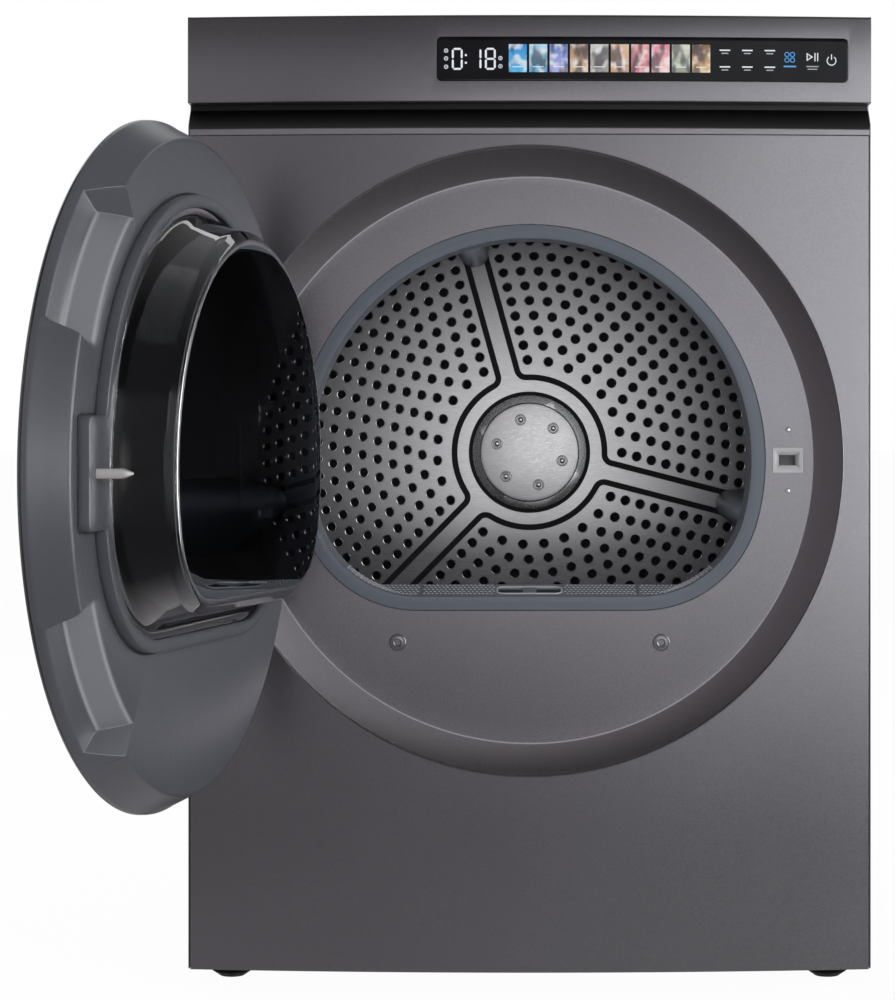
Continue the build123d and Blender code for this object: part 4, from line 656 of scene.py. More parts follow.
# Finger groove below the fascia: a satin black moulding with an undercut and a slope.
# Its lower strip is painted like the front and closes the gap above the front panel.
GROOVE_LOW, GROOVE_DEPTH, GROOVE_WALL, GROOVE_END = 741.8, 20.0, 2.5, 1.6
STRIP_TOP = GROOVE_LOW + 5.4
SLOPE_TOP = FASCIA_LOW - 4.8
groove_finish = Finish("dark_groove", metallic=0.5)
height = groove_finish.axes(groove_finish.place())[2]
painted = height < STRIP_TOP * MILLIMETRE + 0.0002
speck = groove_finish.noise(2400, 1.0)
shadow = groove_finish.spread(height, 1.0, 0.0, STRIP_TOP * MILLIMETRE, (SLOPE_TOP - 3.0) * MILLIMETRE)
black = groove_finish.ramp(shadow + speck * 0.06, (0, (0.003, 0.003, 0.0034)), (1, (0.044, 0.042, 0.044)))
strip_shade = groove_finish.ramp(speck, (0, PAINT), (1, tuple(c * 1.3 for c in PAINT)))
groove_finish.feed("Base Color", groove_finish.mix(painted, black, strip_shade))
groove_finish.feed("Roughness", groove_finish.spread(speck, 0.36, 0.46))
groove_back, groove_top = GROOVE_DEPTH + GROOVE_WALL, FASCIA_LOW - 0.3
outline = [(inset, z, False) for inset, z in (
    (0.5, GROOVE_LOW), (0.0, GROOVE_LOW + 0.5), (0.0, STRIP_TOP - 0.6), (0.7, STRIP_TOP),
    (GROOVE_DEPTH, SLOPE_TOP), (GROOVE_DEPTH, groove_top),
    (groove_back, groove_top), (groove_back, SLOPE_TOP - GROOVE_WALL),
    (GROOVE_WALL, STRIP_TOP - GROOVE_WALL), (GROOVE_WALL, GROOVE_LOW))]
groove = bowed_strip("fascia_groove_moulding", outline, CABINET_HALF - GROOVE_END, groove_finish)
mount(groove, "cabinet", "dark_trim", "fascia_groove")

# Touch display: one piece of black glass set flush in the fascia, over a lamp board.
# Digits, ten picture tiles and touch marks shine through it; the pictures are plain blends of colour.
display_black = Finish("display_glass", specular_ior_level=0.12)
smear = display_black.noise(30.0, 3.0)
glass_shades = (0.3, (0.004, 0.004, 0.005)), (0.7, (0.009, 0.009, 0.011))
display_black.feed("Base Color", display_black.ramp(smear, *glass_shades))
display_black.feed("Roughness", display_black.spread(smear, 0.04, 0.10, 0.3, 0.7))
rows = [window_loop(growth, sink) for growth, sink in (
    (-18.9, 2.0), (-12.0, 2.0), (-6.0, 2.0), (-0.1, 2.0), (0.0, 1.8), (0.0, 0.5), (-0.15, 0.12), (-0.5, 0.0),
    (-3.0, 0.0), (-6.0, 0.0), (-10.0, 0.0), (-14.0, 0.0), (-18.9, 0.0))]
glass_faces = capped_faces(len(rows), len(rows[0]))
glass = shaped("display_glass_pane", at(np.concatenate(rows)), glass_faces, display_black)
mount(glass, "cabinet", "display_glass", "display_glass")

WHITE_INK, DIM_INK, BLUE_INK = (0.80, 0.84, 0.90), (0.38, 0.40, 0.44), (0.05, 0.36, 0.85)
BLACK_INK = (0.004, 0.004, 0.005)
mark_points, mark_faces, mark_inks = [], [], []


def mark(outline, ink, base_ink=None):
    """Thin lit shape on the glass from (sideways, height) points, with a second colour at its foot."""
    low = min(z for _, z in outline)
    high = max(z for _, z in outline)
    start = len(mark_points)
    count = len(outline)
    for proud in (0.05, 0.01):
        for x, z in outline:
            mark_points.append((x, float(bow(x)) - proud, z))
            part = (z - low) / (high - low) if base_ink else 1.0
            mark_inks.append([b + (t - b) * part for t, b in zip(ink, base_ink or ink)])
    mark_faces.append(tuple(range(start, start + count)))
    mark_faces.append(tuple(range(start + 2 * count - 1, start + count - 1, -1)))
    for i in range(count):
        j = (i + 1) % count
        mark_faces.append((start + i, start + count + i, start + count + j, start + j))


def bar(x0, x1, z0, z1, ink, base_ink=None):
    """Lit rectangle."""
    mark([(x0, z0), (x1, z0), (x1, z1), (x0, z1)], ink, base_ink)


def arc_band(x, z, radius, width, start, end, ink, pieces=14):
    """Part of a ring, as a row of short bars."""
    for step in range(pieces):
        a, b = (math.radians(start + (end - start) * (step + k) / pieces) for k in (0, 1))
        corners = [(radius + side * width / 2, angle) for side, angle in ((-1, a), (1, a), (1, b), (-1, b))]
        mark([(x + r * math.cos(angle), z + r * math.sin(angle)) for r, angle in corners], ink)


SEGMENTS = {"0": "abcdef", "1": "bc", "8": "abcdefg"}
DIGIT_WIDTH, DIGIT_HEIGHT, DIGIT_LOW, STROKE, STROKE_GAP = 9.4, 19.0, 797.3, 1.7, 0.35


def digit(figure, left):
    """Seven-segment figure with pointed strokes."""
    low, half = DIGIT_LOW, STROKE / 2
    right, high, middle = left + DIGIT_WIDTH, low + DIGIT_HEIGHT, low + DIGIT_HEIGHT / 2
    for segment in SEGMENTS[figure]:
        if segment in "adg":
            z = {"a": high - half, "d": low + half, "g": middle}[segment]
            x0, x1 = left + STROKE + STROKE_GAP, right - STROKE - STROKE_GAP
            mark([(left + half + STROKE_GAP, z), (x0, z - half), (x1, z - half),
                  (right - half - STROKE_GAP, z), (x1, z + half), (x0, z + half)], WHITE_INK)
        else:
            x = left + half if segment in "ef" else right - half
            bottom, top = (middle, high - half) if segment in "bf" else (low + half, middle)
            z0, z1 = bottom + half + STROKE_GAP, top - half - STROKE_GAP
            mark([(x, bottom + STROKE_GAP), (x + half, z0), (x + half, z1), (x, top - STROKE_GAP),
                  (x - half, z1), (x - half, z0)], WHITE_INK)


digit("0", -67.2)
for z in (809.2, 802.6):
    bar(-55.9, -54.2, z, z + STROKE, WHITE_INK)
digit("1", -51.0)
digit("8", -38.6)
for column, heights in ((-72.2, (814.0, 807.2, 800.0)), (-25.2, (807.4, 800.4))):
    for z in heights:
        arc_band(column, z, 1.55, 0.6, 0, 360, WHITE_INK, 10)
        bar(column - 0.35, column + 0.35, z - 0.6, z + 0.6, WHITE_INK)
LABEL_COLUMNS, LABEL_ROWS = (169.4, 189.0, 208.6), (814.8, 800.4)
for column in LABEL_COLUMNS:
    for z in LABEL_ROWS:
        bar(column - 4.6, column + 4.6, z - 0.55, z + 0.55, WHITE_INK)
        bar(column - 3.0, column + 3.0, z - 3.1, z - 2.2, DIM_INK)
for x in (223.6, 228.4):
    for z in (806.8, 811.6):
        arc_band(x, z, 1.9, 0.7, 0, 360, BLUE_INK, 12)
bar(220.6, 231.6, 800.6, 801.8, BLUE_INK)
mark([(240.8, 806.0), (240.8, 813.2), (246.4, 809.6)], WHITE_INK)
mark([(241.6, 807.3), (244.9, 809.6), (241.6, 811.9)], BLACK_INK)
for x in (247.6, 250.0):
    bar(x, x + 0.9, 806.0, 813.2, WHITE_INK)
bar(240.6, 251.2, 800.9, 801.8, DIM_INK)
bar(241.6, 250.2, 798.6, 799.4, DIM_INK)
arc_band(262.6, 806.6, 3.9, 0.8, 125, 415, WHITE_INK)
bar(262.2, 263.0, 807.4, 812.2, WHITE_INK)
lit_marks = Finish("lit_marks", roughness=0.25, emission_strength=0.9)
ink = lit_marks.node("ShaderNodeAttribute", {"attribute_name": "ink"}, output="Color")
flicker = lit_marks.noise(900.0, 1.0)
lit = lit_marks.mix(lit_marks.spread(flicker, 0.0, 0.12, 0.3, 0.7), ink, (0.3, 0.3, 0.32, 1))
lit_marks.feed("Emission Color", lit)
lit_marks.feed("Base Color", lit_marks.mix(0.9, ink, (0.0, 0.0, 0.0, 1)))


def lit_piece(name, finish):
    """Turns the marks gathered so far into one piece on the display."""
    holder = shaped(name, at(mark_points), mark_faces, finish)
    colours = holder.data.color_attributes.new("ink", "FLOAT_COLOR", "POINT")
    places = np.array([v.co for v in holder.data.vertices])
    wanted = at(mark_points)
    order = [int(np.argmin(np.abs(wanted - p).sum(1))) for p in places]
    colours.data.foreach_set("color", np.array([(*mark_inks[i], 1.0) for i in order], np.float32).ravel())
    mount(holder, "cabinet", "display_glass")
    for gathered in (mark_points, mark_faces, mark_inks):
        gathered.clear()


lit_piece("display_marks", lit_marks)

TILE_LEFT, TILE_WIDTH, TILE_PITCH, TILE_LOW, TILE_HIGH = -17.9, 15.6, 17.66, 795.3, 819.5
TILE_BANDS, TILE_PARTS, CAPTION_LIFT = 6, 4, 0.06
TILES = [((0.02, 0.25, 0.62), (0.10, 0.48, 0.80)), ((0.42, 0.68, 0.82), (0.10, 0.36, 0.62)),
         ((0.12, 0.20, 0.55), (0.40, 0.42, 0.72)), ((0.36, 0.20, 0.12), (0.62, 0.44, 0.30)),
         ((0.55, 0.54, 0.52), (0.30, 0.27, 0.26)), ((0.68, 0.46, 0.33), (0.52, 0.30, 0.20)),
         ((0.78, 0.36, 0.38), (0.55, 0.16, 0.20)), ((0.70, 0.22, 0.30), (0.80, 0.50, 0.52)),
         ((0.62, 0.62, 0.52), (0.26, 0.30, 0.22)), ((0.20, 0.09, 0.04), (0.66, 0.42, 0.20))]
for number, (sky, ground) in enumerate(TILES):
    left = TILE_LEFT + TILE_PITCH * number
    for band in range(TILE_BANDS):
        z0, z1 = (TILE_LOW + (TILE_HIGH - TILE_LOW) * (band + k) / TILE_BANDS for k in (0, 1))
        foot, head = ([g + (s - g) * (band + k) / TILE_BANDS for s, g in zip(sky, ground)] for k in (0, 1))
        for part in range(TILE_PARTS):
            x0, x1 = (left + TILE_WIDTH * (part + k) / TILE_PARTS for k in (0, 1))
            bar(x0, x1, z0, z1, head, foot)
picture_tiles = Finish("picture_tiles", roughness=0.25, emission_strength=0.85)
ink = picture_tiles.node("ShaderNodeAttribute", {"attribute_name": "ink"}, output="Color")
blob = picture_tiles.noise(130.0, 1.0, (1, 0, 1))
fold = picture_tiles.noise(75.0, 1.0, (1.4, 0, 0.7))
lighter = picture_tiles.mix(picture_tiles.spread(blob, 0.0, 0.65, 0.48, 0.66), ink, (0.85, 0.84, 0.80, 1))
picture = picture_tiles.mix(picture_tiles.spread(fold, 0.0, 0.75, 0.52, 0.40), lighter, (0.03, 0.03, 0.05, 1))
picture_tiles.feed("Emission Color", picture)
picture_tiles.feed("Base Color", picture_tiles.mix(0.85, picture, (0.0, 0.0, 0.0, 1)))
lit_piece("display_tiles", picture_tiles)
for number in range(len(TILES)):
    left = TILE_LEFT + TILE_PITCH * number
    bar(left + 3.2, left + TILE_WIDTH - 3.2, TILE_LOW + 4.3, TILE_LOW + 5.0, WHITE_INK)
mark_points[:] = [(x, depth - CAPTION_LIFT, z) for x, depth, z in mark_points]
lit_piece("display_captions", lit_marks)

circuit = grained("circuit_green", (0.03, 0.12, 0.05), 0.5, 500, 0.00005)
wear("display_board", circuit)
wear("control_board", black_plastic)

# Opening bezel: a blue-grey plastic lining of the opening, from the recess to the drum.
# Its lower sill slopes up to the drum and carries raised dots; it is clamped behind the front panel.
SILL_FRONT, SILL_REAR, SILL_RISE = 13.3, 56.7, 7.0
BULKHEAD_BACK = 62.0
FILTER_HALF, FILTER_GAP, FILTER_SLOT = 95.0, 0.3, (330.0, 352.0)


def d_loop(growth, depth, lift=0.0):
    """Outline of the opening, grown evenly, at a depth."""
    return ring_loop(turn, d_radius(turn, growth, lift), depth)


# The sill, the filter lid and the grip's end fillings are the bezel's blue-grey made lighter: painted light
# on a sill that lies in the drum's shade.
SILL_LIT_GREY = (0.15, 0.16, 0.185)
bezel_plastic = grained("bezel_plastic", (0.084, 0.098, 0.124), 0.42, 2200, 0.00003, 0.06)
sill_plastic = grained("sill_plastic", SILL_LIT_GREY, 0.38, 2200, 0.00003, 0.06)
centre = (0, STORED_DEPTH * MILLIMETRE, (RING_HEIGHT - OPENING_FLAT) * MILLIMETRE)
x, y, z = bezel_plastic.axes(bezel_plastic.place((1, 1, 1), centre))
sill_painted_light = (y > (SILL_FRONT - 0.4) * MILLIMETRE) * bezel_plastic.spread(z, 1.0, 0.0, 0.016, 0.026)
moulded = bezel_plastic.fed("Base Color")
bezel_plastic.feed("Base Color", bezel_plastic.mix(sill_painted_light, moulded, (*SILL_LIT_GREY, 1)))
turn = np.linspace(0, 2 * math.pi, 540, endpoint=False)
rows = [d_loop(growth, depth) for growth, depth in (
    (BEZEL_FACE, 8.6), (BEZEL_FACE, 7.6), (11.9, 7.3), (6.0, 7.3), (1.1, 7.3), (0.3, 7.55), (0.0, 8.3),
    (0.0, SILL_FRONT - 0.6))]
rows.append(d_loop(0.0, SILL_FRONT, 0.1))
for part in (0.25, 0.5, 0.75, 1.0):
    rows.append(d_loop(0.0, SILL_FRONT + (SILL_REAR - SILL_FRONT) * part, SILL_RISE * part))
rows += [d_loop(0.0, SILL_REAR + 0.6, SILL_RISE), d_loop(0.0, BULKHEAD_BACK, SILL_RISE)]
rows += [d_loop(growth, depth) for growth, depth in (
    (2.5, BULKHEAD_BACK), (2.5, 10.3), (22.2, 10.3), (22.2, 8.6))]
lining_faces = skin_faces(len(rows), len(turn), True, True)
bezel = shaped("opening_lining", at(np.concatenate(rows)), lining_faces, bezel_plastic)
carve(bezel, *boxes(box_points((-FILTER_HALF - FILTER_GAP, FILTER_HALF + FILTER_GAP),
                               (SILL_FRONT - FILTER_GAP, SILL_REAR + FILTER_GAP), FILTER_SLOT)))
mount(bezel, "cabinet", "bezel_plastic", "opening_bezel")
wear("front_bulkhead", galvanised)
wear("seal_collar", galvanised)
felt = grained("felt", (0.11, 0.105, 0.10), 0.95, 1500, 0.0003, 0.2)
black_paint = grained("black_paint", (0.013, 0.013, 0.013), 0.45, 900, 0.00005)
# The rear bulkhead is black: painted shade for the dark chamber seen through the drum's holes; the
# compressor's black is its own paint.
wear("rear_bulkhead", black_paint)
wear("front_seal", felt)
wear("rear_seal", felt)

# Lint filter: a dotted plastic lid with a finger grip over a flat frame that holds a fine screen.
# It lifts straight up out of its slot in the sill.
GRIP_HALF, GRIP_TAB, GRIP_NEAR, GRIP_FAR = 27.0, 6.0, 18.3, 51.7
GRIP_WELL, GRIP_ROUND, GRIP_BEAD, GRIP_FLOOR = 10.5, 7.0, 0.75, 7.0
DOT_PITCH, DOT_ROW, DOT_ROWS, DOT_COLUMNS = 3.7, 8.0, 5, 52
DOT_START, DOT_REACH = 5.2, 62.0


class Pattern(Graph):
    """Geometry Nodes tree that repeats a small shape on points, with named sizes in metres."""

    def __init__(self, name, **sizes):
        super().__init__(bpy.data.node_groups.new(name, "GeometryNodeTree"))
        self.name = name
        self.sizes = sizes
        face = self.tree.interface
        face.new_socket("Points", in_out="INPUT", socket_type="NodeSocketGeometry")
        self.sockets = {}
        for size in sizes:
            label = size.replace("_", " ")
            self.sockets[size] = face.new_socket(label, in_out="INPUT", socket_type="NodeSocketFloat")
        face.new_socket("Geometry", in_out="OUTPUT", socket_type="NodeSocketGeometry")
        self.entry = self.tree.nodes.new("NodeGroupInput")

    def size(self, name):
        return Signal(self, self.entry.outputs[name.replace("_", " ")])

    def repeat(self, shape, finish, rotation=(math.pi / 2, 0, 0)):
        points = Signal(self, self.entry.outputs["Points"])
        instances = {"Points": points, "Instance": shape, "Rotation": rotation}
        placed = self.node("GeometryNodeInstanceOnPoints", {}, instances)
        real = self.node("GeometryNodeRealizeInstances", {}, {0: placed})
        painted = self.node("GeometryNodeSetMaterial", {}, {"Geometry": real, "Material": finish.material})
        outlet = self.tree.nodes.new("NodeGroupOutput")
        self.tree.links.new(painted.socket, outlet.inputs["Geometry"])

    def joined(self, *shapes):
        join = self.tree.nodes.new("GeometryNodeJoinGeometry")
        for shape in shapes:
            self.tree.links.new(shape.socket, join.inputs[0])
        return Signal(self, join.outputs[0])

    def moved(self, shape, **change):
        return self.node("GeometryNodeTransform", {}, {"Geometry": shape, **change})

    def vector(self, *parts):
        return self.node("ShaderNodeCombineXYZ", {}, dict(enumerate(parts)))

    def dome(self, radius, height):
        """Ball pressed flat to two sizes."""
        ball = self.node("GeometryNodeMeshUVSphere", {}, {"Segments": 20, "Rings": 10, "Radius": 1.0})
        return self.moved(ball, Scale=self.vector(self.size(radius), self.size(radius), self.size(height)))

    def hoop(self, radius, steps, thickness, sides):
        """Round bar bent to a ring."""
        circle = "GeometryNodeCurvePrimitiveCircle"
        path, section = (self.node(circle, {}, {"Resolution": count, "Radius": self.size(size)})
                         for size, count in ((radius, steps), (thickness, sides)))
        return self.node("GeometryNodeCurveToMesh", {}, {"Curve": path, "Profile Curve": section})

    def grow(self, name, places, angle=40.0, **sizes):
        """Runs the tree on places in stored metres, with other sizes where given, and keeps a plain mesh."""
        holder = shown(name, mesh_of(name, places))
        run = holder.modifiers.new(self.name, "NODES")
        run.node_group = self.tree
        for size, socket in self.sockets.items():
            run[socket.identifier] = sizes.get(size, self.sizes[size])
        baked(holder)
        outward(holder.data, 1e-6)
        smooth(holder.data, angle)
        return holder


def sill_lift(depth):
    """Rise of the sill's slope at a depth."""
    return SILL_RISE * (depth - SILL_FRONT) / (SILL_REAR - SILL_FRONT)


def on_lid(x, depth, sink):
    """Point on the lid's slope, sunk by some millimetres."""
    return x, depth, RING_HEIGHT - OPENING_FLAT + sill_lift(depth) - sink


# The lid is in the sill's lighter grey, which is painted light.
dressed("filter_frame", sill_plastic, 0.7)
dot_plastic = grained("dot_plastic", (0.40, 0.41, 0.45), 0.34, 2200, 0.00002, 0.05)
dots = Pattern("raised_dots", Dot_radius=0.0014, Dot_height=0.0010)
dot_foot = dots.size("Dot_radius")
cone = dots.node("GeometryNodeMeshCone", {}, {"Vertices": 6, "Radius Top": dot_foot * 0.45,
                                             "Radius Bottom": dot_foot, "Depth": dots.size("Dot_height")})
dots.repeat(cone, dot_plastic, (0.0, 0.0, 0.0))
lid_dots, sill_dots = [], []
for row in range(DOT_ROWS):
    depth = SILL_FRONT + DOT_START + DOT_ROW * row
    for step in range(-DOT_COLUMNS, DOT_COLUMNS + 1):
        x = (step + (row % 2) / 2) * DOT_PITCH
        if abs(x) < FILTER_HALF - 1.5:
            if abs(x) > GRIP_HALF + 3.5 or not GRIP_NEAR - 1.3 < depth < GRIP_FAR + 1.3:
                lid_dots.append(on_lid(x, depth, -0.35))
        elif abs(x) > FILTER_HALF + 2.0:
            over = max(abs(x) - FILTER_HALF - 2.9, 0.0)
            if over < DOT_REACH:
                corner_lift = OPENING_CORNER - math.sqrt(OPENING_CORNER**2 - over**2)
                z = max(sill_lift(depth), corner_lift) - OPENING_FLAT
                sill_dots.append((x, depth, RING_HEIGHT + z + 0.3))
mount(dots.grow("filter_lid_dots", at(lid_dots)), "lint_filter", "bezel_plastic")
mount(dots.grow("sill_dots", at(sill_dots)), "cabinet", "bezel_plastic")
grip_middle = (GRIP_NEAR + GRIP_FAR) / 2


def grip_filling(name, finish, top, *spans):
    """Wedges that fill both slots of the grip up to some millimetres below the lid, over spans of depth."""
    wedges = [[on_lid(side * x, depth, sink) for x in (GRIP_TAB + 0.05, GRIP_HALF - 0.05) for depth in span
               for sink in (GRIP_FLOOR, top)] for side in (-1, 1) for span in spans]
    mount(shaped(name, *boxes(*wedges), finish), "lint_filter", "bezel_plastic")


# Black wedges in the middle of the slots are painted shade for the dark wells; the wedges at the slots' ends
# are in the sill's painted-light grey.
grip_filling("grip_well_shadows", black_plastic, 1.6, (grip_middle - GRIP_WELL, grip_middle + GRIP_WELL))
grip_filling("grip_floor", sill_plastic, 0.2, (GRIP_NEAR + 0.05, grip_middle - GRIP_WELL - 0.05),
             (grip_middle + GRIP_WELL + 0.05, GRIP_FAR - 0.05))
lip_path = []
for x, depth, start in ((1, 1, 0), (-1, 1, 90), (-1, -1, 180), (1, -1, 270)):
    for a in np.radians(np.linspace(start, start + 90, 7)):
        lip_path.append((x * (GRIP_HALF - 5.5) + GRIP_ROUND * math.cos(a),
                         grip_middle + depth * 6.0 + GRIP_ROUND * math.sin(a)))
lip_points = []
for k, (x, depth) in enumerate(lip_path):
    before, after = lip_path[k - 1], lip_path[(k + 1) % len(lip_path)]
    side_x, side_depth = after[0] - before[0], after[1] - before[1]
    length = math.hypot(side_x, side_depth)
    for a in np.radians(np.arange(0, 360, 60)):
        out = GRIP_BEAD * math.cos(a) / length
        lip_points.append(on_lid(x + side_depth * out, depth - side_x * out, 0.1 - GRIP_BEAD * math.sin(a)))
grip_light = grained("grip_lip", (0.50, 0.52, 0.56), 0.3, 1600, 0.00002, 0.05)
lip_faces = skin_faces(len(lip_path), 6, True, True)
mount(shaped("grip_lip", at(lip_points), lip_faces, grip_light, 60.0), "lint_filter", "bezel_plastic")
grey_plastic = grained("grey_plastic", (0.20, 0.205, 0.215), 0.48, 1600, 0.00004)
wear("filter_housing", grey_plastic)
screen_cloth = grained("filter_cloth", (0.14, 0.145, 0.16), 0.8, 2600, 0.0002, 0.25)
wear("filter_mesh", screen_cloth)

# Door latch: a light grey moulded socket with a slot, let into the recess floor, and its two screws.
# The same screws hold the rear panel; the round caps below the opening cover transport bolts.
latch_plastic = grained("latch_plastic", (0.43, 0.425, 0.44), 0.42, 1600, 0.00003, 0.06)
LATCH_FACE, LATCH_SLOT, LATCH_MOUTH = 6.0, (7.5, 4.5), (10.6, 8.6)
funnel_ends = ((LATCH_FACE - 0.5, LATCH_MOUTH), (LATCH_FACE + 3.0, LATCH_SLOT))
funnel = [(LATCH_X + side * half[0], depth, RING_HEIGHT + up * half[1])
          for side in (-1, 1) for depth, half in funnel_ends for up in (-1, 1)]
dressed("latch_body", latch_plastic, cut=funnel)
bright_steel = grained("bright_steel", (0.56, 0.56, 0.57), 0.28, 700, 0.00002, 0.05, metallic=1.0)
screws = Pattern("pan_screws", Head_radius=0.0034, Head_height=0.0018, Recess=0.0007)
recess, head_height = screws.size("Recess") * 1.6, screws.size("Head_height")
cut = screws.tree.nodes.new("GeometryNodeMeshBoolean")
screws.tree.links.new(screws.dome("Head_radius", "Head_height").socket, cut.inputs["Mesh 1"])
for length, width in ((2.2, 1.0), (1.0, 2.2)):
    slot_size = screws.vector(recess * length, recess * width, head_height)
    slot = screws.node("GeometryNodeMeshCube", {}, {"Size": slot_size})
    slot = screws.moved(slot, Translation=screws.vector(0.0, 0.0, head_height))
    screws.tree.links.new(slot.socket, cut.inputs["Mesh 2"])
screws.repeat(Signal(screws, cut.outputs[0]), bright_steel)
SCREW_X, SCREW_ROWS, SIDE_TOP, BASE_TOP, REAR = 291.5, 4, 828.7, 46.0, 550.0
LATCH_SCREW_SPREAD = 26.6
screw_places = [(LATCH_X, RECESS_DEPTH - 0.05, RING_HEIGHT + side * LATCH_SCREW_SPREAD) for side in (-1, 1)]
front_screws = screws.grow("latch_screws", at(screw_places), 30.0,
                           Head_radius=0.0021, Head_height=0.0009, Recess=0.0004)
front_screws.data.materials[0] = latch_plastic.material
mount(front_screws, "cabinet", "pin_steel")
rear_places = [(side * SCREW_X, REAR, BASE_TOP + (SIDE_TOP - BASE_TOP) * (row + 0.5) / SCREW_ROWS)
               for side in (-1, 1) for row in range(SCREW_ROWS)]
rear_screws = screws.grow("rear_screws", at(rear_places), 30.0)
for vertex in rear_screws.data.vertices:
    vertex.co.y = 2 * (REAR + STORED_DEPTH) * MILLIMETRE - vertex.co.y
rear_screws.data.flip_normals()
mount(rear_screws, "cabinet", "pin_steel", "cabinet_screws")

CAP_X, CAP_DROP, CAP_RADIUS = 115.0, 159.0, 7.4
CAP_OUTLINE = [(0.6, -1.3), (2.6, -1.3), (2.9, -2.3), (3.5, -2.6), (5.4, -2.3), (5.6, -0.3), (6.4, -0.3),
               (6.7, -2.1), (7.1, -1.9), (CAP_RADIUS, -1.2), (CAP_RADIUS, 0.0), (4.0, 0.0), (4.0, 3.0),
               (0.6, 3.0)]
round_turn = np.linspace(0, 2 * math.pi, 48, endpoint=False)


def round_skin(rows, poles):
    """Points and faces of rows round a line; two poles close the ends, or the last row joins the first."""
    count = len(rows[0])
    points = np.concatenate(rows)
    faces = skin_faces(len(rows), count, True, poles is None)
    if poles is not None:
        points = np.concatenate([points, poles])
        last = (len(rows) - 1) * count
        for i in range(count):
            j = (i + 1) % count
            faces += [(len(points) - 2, j, i), (len(points) - 1, last + i, last + j)]
    return points, faces


def turned(name, outline, finish, centre=(0.0, RING_HEIGHT), pole=True):
    """Round piece about a line that runs backwards, from (radius, depth) points; its ends may close on it."""
    rows = [np.stack([centre[0] + radius * np.cos(round_turn), np.full(round_turn.shape, depth),
                      centre[1] + radius * np.sin(round_turn)], 1) for radius, depth in outline]
    ends = [(centre[0], outline[end][1], centre[1]) for end in (0, -1)] if pole else None
    points, faces = round_skin(rows, ends)
    return shaped(name, at(points), faces, finish)


cap_plastic = grained("cap_plastic", (0.175, 0.169, 0.183), 0.3, 1600, 0.00003, metallic=0.9)
for side, word in ((-1, "left"), (1, "right")):
    outline = [(radius, RECESS_DEPTH + back) for radius, back in CAP_OUTLINE]
    cap = turned("cap_" + word, outline, cap_plastic, (side * CAP_X, RING_HEIGHT - CAP_DROP))
    mount(cap, "cabinet", "grey_plastic", *(["panel_caps"] if side < 0 else []))

# Hinge: two cranked steel arms on a plate behind the recess, a pin through them and a leaf in the door.
# All are stamped or turned from steel and blackened; the plate and the leaf are screwed on.
hinge_steel = grained("hinge_steel", (0.10, 0.10, 0.105), 0.45, 700, 0.00002, 0.06, metallic=0.8)
dressed("hinge_bracket", hinge_steel, 0.5)
dressed("hinge_pin", hinge_steel, 0.2)
dressed("hinge_leaf", hinge_steel, 0.4)

# Drum: a rolled stainless wall seamed to a turned-in front ring and a perforated back.
# Pressed channels frame the three plain spokes and the hub; plastic lifters are screwed to the wall.
DRUM_BACK, DRUM_INSIDE = 445.0, 280.0
SPOKE_ANGLE, SPOKE_COUNT = 105.5, 3
SPOKE_STEP = 360 // SPOKE_COUNT
HOLE_RINGS, HOLE_RADIUS, FIRST_RING, RING_PITCH = 9, 4.6, 94.2, 15.16
FIRST_HOLES, HOLE_STEP, SPOKE_MARGIN = 8, 2, 23.1
HUB_RADIUS, HUB_THICKNESS, HUB_HOLE, HUB_GAP = 50.7, 3.0, 4.0, 61.9
CHANNEL_DEPTH, CHANNEL_HALF = 1.6, 3.0
CHANNEL_ACROSS, CHANNEL_RING, CHANNEL_BEND, CHANNEL_END = 10.15, 76.5, 9.0, 268.0
RIVET_RING, RIVET_COUNT = 34.3, 6
SHEEN_LEFT, SHEEN_DOWN = 0.015, 0.008

drum_steel = Finish("drum_steel", metallic=1.0)
# The drum's steel carries a painted sheen: light at the middle of the back and darker towards the rim, faster
# below it, in place of the light that falls in through the opening.
centre = (STORED_X * MILLIMETRE - SHEEN_LEFT, 0, RING_HEIGHT * MILLIMETRE - SHEEN_DOWN)
x, y, z = drum_steel.axes(drum_steel.place((1, 1, 1), centre))
low = z * drum_steel.spread(z, 2.2, 1.0, -0.08, -0.02)
reach = (x * x + low * low) ** 0.5
streak = drum_steel.spread(drum_steel.noise(260.0, 3.0, (0.35, 1, 6.0)), 0.0, 0.35, 0.35, 0.7)
fine = drum_steel.noise(1500.0, 2.0, (0.2, 1, 4.0))
painted_sheen_falloff = drum_steel.spread(reach, 0.0, 1.0, 0.05, 0.23)
steel = drum_steel.mix(painted_sheen_falloff, (0.62, 0.62, 0.63, 1), (0.16, 0.16, 0.167, 1))
drum_steel.feed("Base Color", drum_steel.mix(streak, steel, (0.30, 0.30, 0.31, 1)))
drum_steel.feed("Roughness", drum_steel.spread(fine, 0.26, 0.42, 0.3, 0.7))
drum_steel.bump(fine, 0.00002)
dressed("drum_shell", drum_steel)
dressed("drum_front", drum_steel)
dressed("drum_shaft", bright_steel, 0.3)


def around(radius, degrees):
    """Sideways and upright place on a circle."""
    return radius * math.cos(math.radians(degrees)), radius * math.sin(math.radians(degrees))


def hole_places():
    """Rings of air holes between margins of constant width beside the spokes."""
    places = []
    for ring in range(HOLE_RINGS):
        radius = FIRST_RING + ring * RING_PITCH
        count = FIRST_HOLES + ring * HOLE_STEP
        margin = math.degrees(math.asin(SPOKE_MARGIN / radius))
        step = (SPOKE_STEP - 2 * margin) / (count - 1)
        for spoke in range(SPOKE_COUNT):
            first = SPOKE_ANGLE + SPOKE_STEP * spoke + margin
            places += [around(radius, first + k * step) for k in range(count)]
    return places


